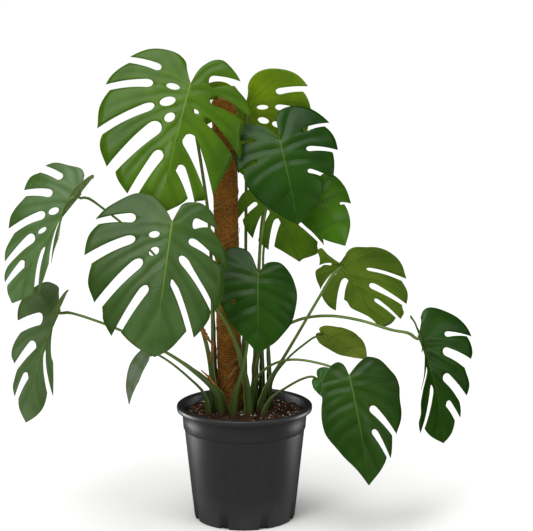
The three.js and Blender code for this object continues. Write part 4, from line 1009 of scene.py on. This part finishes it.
class PLANT_OT_pot(bpy.types.Operator):
    """Model the nursery pot with its rolled lip, stepped band and drain notches"""

    bl_idname = "plant.pot"
    bl_label = "Nursery pot"

    def execute(self, context):
        pot = context.scene.plant_pot
        plastic = pot_plastic("pot_plastic", tuple(pot.colour), pot.roughness)
        piece = add_piece("pot_shell", self.shell(pot), "pot_plastic", [plastic], "nursery_pot")
        cutter = placed("notches", mesh_of("notches", self.notches(pot)))
        cut = piece.modifiers.new("notches", "BOOLEAN")
        cut.operation = "DIFFERENCE"
        cut.solver = "EXACT"
        cut.object = cutter
        graph = context.evaluated_depsgraph_get()
        finished = bpy.data.meshes.new_from_object(piece.evaluated_get(graph))
        piece.modifiers.clear()
        piece.data = finished
        bpy.data.objects.remove(cutter)
        return {"FINISHED"}

    @staticmethod
    def shell(pot):
        """The pot in millimetres: up the outside, over the lip, down the inside and across the floor."""
        height, base, rim = (size / MM for size in (pot.height, pot.base_radius, pot.rim_radius))
        wall, floor = 2.2, 3
        band, band_radius, neck = 172, 115, 117
        step, lip = band_radius - wall, height - 10
        outline = [
            (0, 0), (base - 3, 0), (base - 1.6, 0.3), (base - 0.5, 1.2), (base, 3),
            *((lerp(base, step, share), band * share) for share in (0.25, 0.5, 0.75)),
            (step - 0.05, band - 1.2), (step, band - 0.4), (step + 0.5, band + 0.4),
            (band_radius - 0.4, band + 1), (band_radius, band + 2),
            (lerp(band_radius, neck, 0.5), band + 18), (neck - 0.1, lip - 1.6), (neck + 0.4, lip - 0.4),
            (neck + 1.6, lip), (rim - 2, lip + 0.3), (rim - 0.6, lip + 0.9), (rim, lip + 2.4),
            (rim, height - 2.6), (rim - 0.5, height - 1.1), (rim - 1.8, height - 0.2), (rim - 3.4, height),
            (neck + 1.6, height), (neck - 0.2, height - 0.4), (neck - 1.8, height - 1.5),
            (neck - 2.6, height - 3.4), (band_radius - wall, band + 1.5), (step - wall, band - 1),
            (base - wall + 1, 2 * floor), (base - wall - 1.5, floor), (0, floor),
        ]
        return spun([(r * MM, z * MM) for r, z in outline], 144)

    @staticmethod
    def notches(pot):
        """The blocks that cut the drain notches, round the pot's foot."""
        count, size, rounding = 8, Vector((18, 17, 14)) * MM, 2 * MM
        bm = bmesh.new()
        for k in range(count):
            block = bmesh.ops.create_cube(bm, size=1)["verts"]
            edges = {edge for vert in block for edge in vert.link_edges}
            bmesh.ops.scale(bm, vec=size, verts=block)
            turned = Matrix.Rotation(TURN * (k + 0.5) / count, 4, "Z")
            place = turned @ Matrix.Translation((pot.base_radius, 0, 0))
            bmesh.ops.transform(bm, matrix=place, verts=block)
            bmesh.ops.bevel(bm, geom=list(edges), offset=rounding, offset_type="OFFSET", segments=3,
                            profile=0.5, affect="EDGES", material=-1)
        return bm


class PLANT_OT_soil(bpy.types.Operator):
    """Model the crumbly soil with its perlite grains and bark bits"""

    bl_idname = "plant.soil"
    bl_label = "Potting soil"

    def execute(self, context):
        soil = context.scene.plant_soil
        peat = crumbly_soil("crumbly_soil", tuple(soil.colour))
        add_piece("soil_body", self.body(), "potting_soil", [peat], "soil")
        rng = random.Random(soil.seed)
        stems = [(*leaf["foot"], leaf["radii"][0]) for leaf in LEAVES]
        stems.append((-26.5, 0, POLE_RADIUS / MM))

        def free_spot(layer):
            """A spot between the stems, more often where the grains gather."""
            gap = 1.5
            while True:
                radius = math.sqrt(rng.random()) * (SOIL_RADIUS - 4 * MM)
                x, y, _ = on_circle(rng.random() * TURN, radius)
                gathered = noise.noise(Vector((x * 24, y * 24, layer))) > rng.uniform(-0.45, 0.25)
                if gathered and all(math.dist((x / MM, y / MM), foot) > r + gap for *foot, r in stems):
                    return Vector((x, y, soil_surface(x, y)))

        def scatter(name, count, low, high, shape, rough, material):
            bm = bmesh.new()
            for _ in range(count):
                size = lerp(low, high, rng.random() ** 2.2) * MM
                spot = free_spot(count)
                spot.z += size * 0.12
                verts = shape(bm)["verts"]
                angle = rng.random() * 6.3
                axis = Vector((rng.random() - 0.5, rng.random() - 0.5, 1))
                width, height = lerp(0.5, 1, rng.random()), lerp(0.35, 0.8, rng.random())
                turn = Matrix.Rotation(angle, 4, axis)
                stretch = Matrix.Diagonal((size, size * width, size * height, 1))
                bmesh.ops.transform(bm, matrix=Matrix.Translation(spot) @ turn @ stretch, verts=verts)
                for vert in verts:
                    vert.co += Vector([rng.uniform(-1, 1) for _ in range(3)]) * size * rough
            add_piece(name, bm, "potting_soil", [material], smooth=False)

        def pebble(bm):
            return bmesh.ops.create_icosphere(bm, subdivisions=1, radius=0.5)

        def chip(bm):
            return bmesh.ops.create_cube(bm, size=0.8)

        white = granule("perlite_grain", rgb("ddd3bd"), 0.15, 0.85)
        brown = granule("bark_bit", rgb("523220"), 0.6, 0.85)
        dark = granule("peat_crumb", rgb("33211a"), 0.5, 0.95)
        scatter("perlite", soil.perlite, 1.4, 4.8, pebble, 0.09, white)
        scatter("bark_bits", soil.bark, 2.0, 8.5, chip, 0.2, brown)
        scatter("peat_crumbs", 700, 1.8, 6.0, pebble, 0.12, dark)
        return {"FINISHED"}

    @staticmethod
    def body():
        """The soil's uneven top, and its sides and bottom inside the pot."""
        bm = bmesh.new()
        around, rings = 120, 34
        bmesh.ops.create_circle(bm, cap_ends=True, cap_tris=True, segments=around, radius=SOIL_RADIUS)
        spokes = [edge for edge in bm.edges if not edge.is_boundary]
        bmesh.ops.subdivide_edges(bm, edges=spokes, cuts=rings)
        for vert in bm.verts:
            vert.co.z = soil_surface(vert.co.x, vert.co.y)
        rim = [edge for edge in bm.edges if edge.is_boundary]
        for radius, height in ((SOIL_RADIUS, 180 * MM), (108 * MM, 168 * MM), (92 * MM, 4 * MM)):
            made = bmesh.ops.extrude_edge_only(bm, edges=rim)["geom"]
            ring = [g for g in made if isinstance(g, bmesh.types.BMVert)]
            inside = set(ring)
            rim = [g for g in made if isinstance(g, bmesh.types.BMEdge) and set(g.verts) <= inside]
            for vert in ring:
                flat = vert.co.xy.normalized() * radius
                vert.co = (*flat, height)
        bmesh.ops.edgeloop_fill(bm, edges=rim)
        bmesh.ops.recalc_face_normals(bm, faces=bm.faces)
        return bm


class PLANT_OT_pole(bpy.types.Operator):
    """Model the coir pole with its loose fibres, twine and wooden core"""

    bl_idname = "plant.pole"
    bl_label = "Coir pole"

    def execute(self, context):
        pole = context.scene.plant_pole
        lean = (POLE_TOP - POLE_FOOT).normalized()
        length = (POLE_TOP - POLE_FOOT).length
        stand = Matrix.Translation(POLE_FOOT) @ lean.to_track_quat("Z", "X").to_matrix().to_4x4()
        fibre = coir_fibre("coir_fibre", tuple(pole.colour), tuple(pole.shadow), rgb("c99344"))
        add_piece("coir_wrap", self.wrap(length, stand), "coir", [fibre], "pole_coir")
        strands = swept(self.fibres(length, stand, pole.strands), 3)
        add_piece("coir_strands", strands, "coir", [strand_fibre("coir_strand", rgb("b07a30"))])
        twine_skin = strand_fibre("twine_fibre", tuple(pole.twine_colour))
        add_piece("twine_wrap", swept([self.twine(length, stand)], 6), "twine", [twine_skin], "pole_twine")
        for material_slot in frame["nodes"]["pole_core"].material_slots:
            material_slot.material = raw_wood("core_wood", rgb("b08a58"))
        return {"FINISHED"}

    @staticmethod
    def wrap(length, stand):
        """The coir wrap: a thick sleeve with a rough, swelling skin."""
        inside, levels = CORE_RADIUS + 0.75 * MM, 90
        outline = [(inside, 0), *((POLE_RADIUS, length * k / levels) for k in range(levels - 1)),
                   (POLE_RADIUS - 1 * MM, length - 4 * MM), (POLE_RADIUS - 3.5 * MM, length - 0.5 * MM),
                   (inside, length - 1 * MM)]
        bm = spun(outline, 72, closed=True)
        for vert in bm.verts:
            out = Vector((vert.co.x, vert.co.y, 0))
            if out.length > POLE_RADIUS - 4 * MM:
                rough = noise.fractal(Vector((vert.co.x, vert.co.y, vert.co.z * 2.2)) * 190, 0.8, 2.0, 4)
                swell = noise.noise(vert.co * 17)
                vert.co += out.normalized() * (rough * 0.9 + swell * 1.2 - 0.4) * MM
        bmesh.ops.transform(bm, matrix=stand, verts=bm.verts)
        return bm

    @staticmethod
    def fibres(length, stand, count):
        """Loose fibres that lie over the wrap, each standing a little proud in its middle."""
        rng = random.Random(11)
        result = []
        for _ in range(count):
            angle = rng.random() * TURN
            up = lerp(170 * MM, length - 4 * MM, rng.random())
            round_pole = rng.uniform(0.3, 1.1) * rng.choice((-1, 1))
            climb = rng.uniform(-14, 14) * MM
            proud = rng.uniform(0.2, 1.0) ** 2 * 2.2 * MM
            path = []
            for share in (0, 0.25, 0.5, 0.75, 1):
                radius = POLE_RADIUS - 0.2 * MM + proud * math.sin(share * math.pi)
                path.append(stand @ on_circle(angle + round_pole * share, radius, up + climb * share))
            result.append((path, [rng.uniform(0.12, 0.28) * MM] * len(path)))
        return result

    @staticmethod
    def twine(length, stand):
        """The path and radii of the twine: wide turns round the wrap, almost up to its top."""
        turns, per_turn = 6, 30
        entry = (195 * MM - POLE_FOOT.z) / length
        low, high = lerp(entry, 1, 0.22), 0.97
        path = []
        for i in range(turns * per_turn + 1):
            up = length * lerp(low, high, i / (turns * per_turn))
            path.append(stand @ on_circle(TURN * i / per_turn, POLE_RADIUS + 0.9 * MM, up))
        return path, [0.7 * MM] * len(path)


class PLANT_OT_roots(bpy.types.Operator):
    """Model the aerial roots and the thin rootlets on the pole's foot"""

    bl_idname = "plant.roots"
    bl_label = "Aerial roots"

    def execute(self, context):
        skin = strand_fibre("aerial_root_skin", rgb("83552c"))
        for name, way in AERIAL_ROOTS.items():
            add_piece(name + "_skin", swept([self.root(way)], 9), "aerial_root", [skin], name)
        rootlets = swept(self.rootlets(context.scene.plant_pole.rootlets), 6)
        add_piece("rootlets", rootlets, "aerial_root", [strand_fibre("rootlet_skin", rgb("a88450"))])
        return {"FINISHED"}

    @staticmethod
    def root(way):
        """The path and radii of an aerial root: round the pole, then down into the soil."""
        radius = POLE_RADIUS + ROOT_RADIUS + 0.6 * MM
        points = [pole_axis(height * MM) + on_circle(math.radians(degrees), radius)
                  for degrees, height in way]
        points += [Vector((*points[-1].xy, SOIL_TOP + drop)) for drop in (4 * MM, -ROOT_BURIED)]
        steps, pointed = 44, 8
        path = smooth_path(points, steps)
        radii = []
        for i, here in enumerate(path):
            knobbly = 1 + 0.16 * noise.noise(here * 160)
            radii.append(ROOT_RADIUS * knobbly * lerp(0.45, 1, clamp(i / pointed)))
        return path, radii

    @staticmethod
    def rootlets(count):
        """Thin roots that cling to the foot of the pole."""
        rng = random.Random(31)
        knots = 13
        result = []
        for _ in range(count):
            start, height = rng.uniform(-2.6, 0.2), rng.uniform(218, 300) * MM
            turn, climb = rng.uniform(0.7, 1.6), rng.uniform(-30, 34) * MM
            thin = rng.uniform(0.5, 1.1) * MM
            path, radii = [], []
            for k in range(knots):
                share = k / (knots - 1)
                up = height + climb * share + 3 * MM * noise.noise(Vector((start * 9, k * 0.3, 0)))
                out = POLE_RADIUS + thin * 0.6 + 1.2 * MM * abs(noise.noise(Vector((start, k * 0.4, 3))))
                path.append(pole_axis(up) + on_circle(start + turn * share, out))
                radii.append(thin * lerp(0.35, 1, math.sin(math.pi * (k + 0.5) / knots)))
            result.append((path, radii))
        return result


class PLANT_OT_blades(bpy.types.Operator):
    """Model the split and holed leaf blades with their veins"""

    bl_idname = "plant.blades"
    bl_label = "Leaf blades"

    def execute(self, context):
        look = context.scene.plant_leaf
        for blade in BLADES:
            name, length = blade.name, blade.length
            tone = rgb(blade.leaf["tone"])
            from_below = blade.number in UNDERSIDE_LEAVES
            upper_tone = tinted(tone, 0.75) if from_below else tone
            under_tone = tone if from_below else tinted(tone, 1.15, rgb("8fa45a"), 0.3)
            veins = tinted(tuple(look.vein_colour), 1.0, tone, 0.6 if blade.slot == "leaf_dark" else 0.35)
            faces = [leaf_face(name + "_upper", upper_tone, veins, True, look.gloss, length),
                     leaf_face(name + "_under", under_tone, veins, False, look.gloss + 0.14, length)]
            rib_skin = vein_skin(name + "_rib", veins, tone, length)
            grids = blade.grids(look.columns)
            piece = add_piece(name + "_leaf", self.sheet(blade, grids), blade.slot, faces, name + "_blade")
            shell = thicken(piece, look.thickness)
            shell.material_offset = 1
            shell.material_offset_rim = 0
            ribs = swept(self.ribs(blade, grids, look.thickness), 8)
            add_piece(name + "_veins", ribs, blade.slot, [rib_skin])
        return {"FINISHED"}

    def sheet(self, blade, grids):
        """The blade as one open sheet: the grids of its lobes, bent into place and joined."""
        bm = bmesh.new()
        flat_layer = bm.verts.layers.float_vector.new("flat")
        edge_layer = bm.verts.layers.float.new("edge")
        lobe_map = bm.loops.layers.uv.new("lobe")
        for grid in grids:
            side, length = grid.lobe.side, blade.length
            columns, rows = len(grid.places) - 1, len(ROWS) - 1
            made = bmesh.ops.create_grid(bm, x_segments=columns, y_segments=rows, size=0.5)["verts"]
            patterns = {}
            for vert in made:
                i, j = round((vert.co.x + 0.5) * columns), round((vert.co.y + 0.5) * rows)
                flat = Vector(grid.flats[j, i])
                patterns[vert] = (grid.off[j, i], grid.down[j, i])
                vert.co = grid.spots[j][i]
                vert[flat_layer] = (side * flat.x * length, flat.y * length, blade.number)
                vert[edge_layer] = self.to_edge(grid.lobe, grid.places[i], ROWS[j], flat) * length
            for face in {face for vert in made for face in vert.link_faces}:
                for loop in face.loops:
                    loop[lobe_map].uv = patterns[loop.vert]
        bmesh.ops.remove_doubles(bm, verts=bm.verts, dist=0.02 * MM)
        bmesh.ops.dissolve_degenerate(bm, dist=0.005 * MM, edges=bm.edges)
        bmesh.ops.recalc_face_normals(bm, faces=bm.faces)
        facing = sum((face.normal * face.calc_area() for face in bm.faces), Vector())
        if facing.dot(blade.face) < 0:
            bmesh.ops.reverse_faces(bm, faces=bm.faces)
        return bm

    @staticmethod
    def to_edge(lobe, t, row, flat):
        """Roughly how far a point is from the blade's nearest edge, as a fraction of its length."""
        nearest = (lobe.outer(t) - flat).length
        for vein, side_t in ((lobe.first, 0), (lobe.second, 1)):
            if vein.kind == "sinus" or (vein.open and row > SPLIT_ROW):
                nearest = min(nearest, (lobe.point(side_t, row) - flat).length)
        return nearest

    @staticmethod
    def ribs(blade, grids, thickness):
        """The midrib below and above the blade, and the raised side veins below it."""
        half = thickness / 2
        steps, reach = 26, 0.965
        midrib_base, midrib_tip = 0.0105, 0.0022
        vein_base, vein_tip, shortest_step = 0.0042, 0.0012, 1.5 * MM
        shares = [k / steps for k in range(steps + 1)]
        spine = [blade.place(1, (0, reach * share), 0) for share in shares]
        strong = [blade.length * lerp(midrib_base, midrib_tip, share ** 0.8) for share in shares]
        light = [r * lerp(0.75, 0.5, share) for r, share in zip(strong, shares)]
        tubes = [([p - blade.face * (half + r * 0.35) for p, r in zip(spine, strong)], strong),
                 ([p + blade.face * (half - r * 0.62) for p, r in zip(spine, light)], light)]
        for grid in grids:
            middle = grid.lobe.middle
            for t in (0.3, middle, 0.75) if grid.lobe.number == 0 else (middle,):
                column = nearest_place(grid.places, t)
                path, radii = [], []
                for row, spots in zip(ROWS[1:-1], grid.spots[1:-1]):
                    radius = blade.length * lerp(vein_base, vein_tip, row) * (1 if t == middle else 0.7)
                    if path and (spots[column] - path[-1]).length < shortest_step:
                        continue
                    path.append(spots[column] - blade.face * (half + radius * 0.5))
                    radii.append(radius)
                tubes.append((path, radii))
        return tubes


class PLANT_OT_petioles(bpy.types.Operator):
    """Model the leaf stalks with their sheathing feet"""

    bl_idname = "plant.petioles"
    bl_label = "Petioles"

    def execute(self, context):
        look = context.scene.plant_leaf
        skin = stalk_skin("petiole_skin", tuple(look.stalk_colour), rgb("223c12"), rgb("a8b058"))
        dry = papery_sheath("dry_sheath", tuple(look.sheath_colour))
        for blade in BLADES:
            path, radii = self.stalk(blade)
            bm = swept([(path, radii)], 20, self.section, pole_axis(path[0].z))
            add_piece(blade.name + "_stalk", bm, "petiole", [skin], blade.name + "_petiole")
        for number, (points, width) in enumerate(DRY_SHEATHS, 1):
            strip = self.dry_strip(smooth_path([Vector(p) * MM for p in points], 26), width * MM, number)
            thicken(add_piece(f"dry_sheath_{number}", strip, "petiole", [dry]), 0.4 * MM)
        return {"FINISHED"}

    @staticmethod
    def section(angle, share):
        """A channel down the upper side, between thin wings that fade out up the stalk."""
        channel_depth, channel_half = 0.3, 0.55
        wing_half, wing_height, wing_reach, wing_trace = 0.3, 0.7, 0.3, 0.06
        channel = channel_depth * math.exp(-(angle / channel_half) ** 2)
        wing = max(0.0, 1 - abs(abs(angle) - WING_ANGLE) / wing_half)
        wing *= wing_height * math.exp(-(share / wing_reach) ** 2) + wing_trace
        return 1 - channel + wing * (1 + 0.3 * math.sin(share * 90 + angle))

    @staticmethod
    def stalk(blade):
        """The path and radii of a petiole, from its buried foot to the back of its blade."""
        leaf = blade.leaf
        x, y = (c * MM for c in leaf["foot"])
        seat = blade.place(1, (0, 0.03), 0)
        slope = math.radians(max(0, -min(leaf["fold"])))
        drop = 1.5 * MM + PETIOLE_TIP * math.tan(slope)
        points = [Vector((x, y, SOIL_TOP - PETIOLE_BURIED)), Vector((x, y, SOIL_TOP + 4 * MM)),
                  *(Vector(p) * MM for p in leaf["via"]),
                  seat - blade.face * (drop + 9 * MM), seat - blade.face * (drop - 0.8 * MM)]
        path = smooth_path(points, 64)
        sheath, stalk = (r * MM for r in leaf["radii"])
        sheath_reach, narrows_from, knee_at, knee_half = 0.28, 0.93, 0.955, 0.02
        radii = []
        for i in range(len(path)):
            t = i / (len(path) - 1)
            body = lerp(stalk, sheath, math.exp(-(t / sheath_reach) ** 2))
            knee = 0.45 * MM * math.exp(-((t - knee_at) / knee_half) ** 2)
            radii.append(lerp(body, PETIOLE_TIP, clamp((t - narrows_from) / (1 - narrows_from))) + knee)
        return path, radii

    @staticmethod
    def dry_strip(path, width, seed):
        """A withered, ragged strip of sheath along a path, cupped across and narrowing towards its far end.
        """
        bm = bmesh.new()
        grain = bm.verts.layers.float_vector.new("grain")
        last = len(path) - 1
        for vert in bmesh.ops.create_grid(bm, x_segments=8, y_segments=last, size=0.5)["verts"]:
            across = vert.co.x * 2
            step = round((vert.co.y + 0.5) * last)
            ahead = (path[min(step + 1, last)] - path[max(step - 1, 0)]).normalized()
            side = ahead.cross(Vector((0, -1, 0))).normalized()
            ragged = 1 + 0.45 * noise.noise(Vector((step * 0.4, across, seed)))
            cup = across * across * 0.3 + 0.2 * noise.noise(Vector((step * 0.2, across * 1.5, seed + 5)))
            reach = width / 2 * (1 - 0.8 * (step / last) ** 2) * ragged
            vert.co = path[step] + side * reach * across - side.cross(ahead) * cup * width
            vert[grain] = (across * width / 2, seed, step * 2 * MM)
        bmesh.ops.recalc_face_normals(bm, faces=bm.faces)
        return bm


class PLANT_OT_stage(bpy.types.Operator):
    """Set the camera, the soft studio lights and the pale floor"""

    bl_idname = "plant.stage"
    bl_label = "Studio"

    def execute(self, context):
        stage = context.scene.plant_stage
        bm = bmesh.new()
        bmesh.ops.create_grid(bm, x_segments=2, y_segments=2, size=120)
        floor = placed("studio_floor", mesh_of("studio_floor", bm))
        floor.data.materials.append(floor_paint("floor_paint", tuple(stage.floor_colour)))
        floor.visible_glossy = False
        self.lamps(stage)
        context.scene.world = self.surround(stage.world_light)
        context.scene.world.cycles_visibility.glossy = False
        context.scene.view_settings.view_transform = "Standard"
        camera = bpy.data.cameras.new("camera")
        camera.sensor_width = 36
        camera.lens = 107.66
        camera.clip_end = 400
        viewer = placed("camera", camera)
        viewer.location = (0.0413, -2.9, 0.993)
        viewer.rotation_euler = (math.radians(79.96), 0, 0)
        context.scene.camera = viewer
        return {"FINISHED"}

    @staticmethod
    def surround(strength):
        world = bpy.data.worlds.new("studio_light")
        world.use_nodes = True
        background = world.node_tree.nodes["Background"]
        background.inputs["Color"].default_value = (1.0, 1.0, 1.0, 1.0)
        background.inputs["Strength"].default_value = strength
        return world

    def lamps(self, stage):
        """The key and fill lights, two low lamps that light the pot alone, and the light from above."""
        key = stage.key_power
        self.softbox("key_light", (-1.5, -2.3, 2.3), 1.3, key, (1.0, 0.985, 0.96))
        self.softbox("fill_light", (2.3, -1.6, 1.5), 1.1, key * 0.4, (1.0, 1.0, 0.98))
        pot_only = bpy.data.collections.new("lit_by_low_lamps")
        pot_only.objects.link(bpy.data.objects["pot_shell"])
        for side, share in ((-1, 0.8), (1, 0.45)):
            low_lamp = self.softbox("low_lamp", (side * 1.3, 0.42, 0.12), 0.8, key * share, (1, 1, 1))
            low_lamp.light_linking.receiver_collection = pot_only
        sky = bpy.data.lights.new("overhead_light", "SUN")
        sky.energy = stage.overhead
        sky.angle = math.radians(55)
        placed("overhead_light", sky).rotation_euler = (math.radians(14), math.radians(-10), 0)

    @staticmethod
    def softbox(name, place, size, power, colour):
        """A round soft lamp that looks at the middle of the plant."""
        light = bpy.data.lights.new(name, "AREA")
        light.shape = "DISK"
        light.size = size
        light.energy = power
        light.color = colour
        lamp = placed(name, light)
        lamp.location = place
        lamp.rotation_euler = (Vector((0, 0, 0.5)) - Vector(place)).to_track_quat("-Z", "Y").to_euler()
        return lamp


class PLANT_PT_panel(bpy.types.Panel):
    """Lists the pieces of the plant"""

    bl_idname = "PLANT_PT_panel"
    bl_label = "Swiss cheese plant"
    bl_space_type = "VIEW_3D"
    bl_region_type = "UI"
    bl_category = "Plant"

    def draw(self, context):
        for operator in OPERATORS:
            self.layout.operator(operator.bl_idname)
        for settings in SETTINGS:
            group = getattr(context.scene, settings)
            for name in group.bl_rna.properties.keys():
                if name not in ("rna_type", "name"):
                    self.layout.prop(group, name)


OPERATORS = (PLANT_OT_pot, PLANT_OT_soil, PLANT_OT_pole, PLANT_OT_roots, PLANT_OT_blades,
             PLANT_OT_petioles, PLANT_OT_stage)
SETTINGS = {"plant_pot": PotSettings, "plant_soil": SoilSettings, "plant_pole": PoleSettings,
            "plant_leaf": LeafSettings, "plant_stage": StageSettings}


def register():
    for group in (*SETTINGS.values(), *OPERATORS, PLANT_PT_panel):
        bpy.utils.register_class(group)
    for name, group in SETTINGS.items():
        setattr(bpy.types.Scene, name, PointerProperty(type=group))


def unregister():
    for name in SETTINGS:
        delattr(bpy.types.Scene, name)
    for group in (PLANT_PT_panel, *reversed(OPERATORS), *SETTINGS.values()):
        bpy.utils.unregister_class(group)


def main():
    register()
    for operator in OPERATORS:
        group, name = operator.bl_idname.split(".")
        getattr(getattr(bpy.ops, group), name)()


if __name__ == "__main__":
    main()
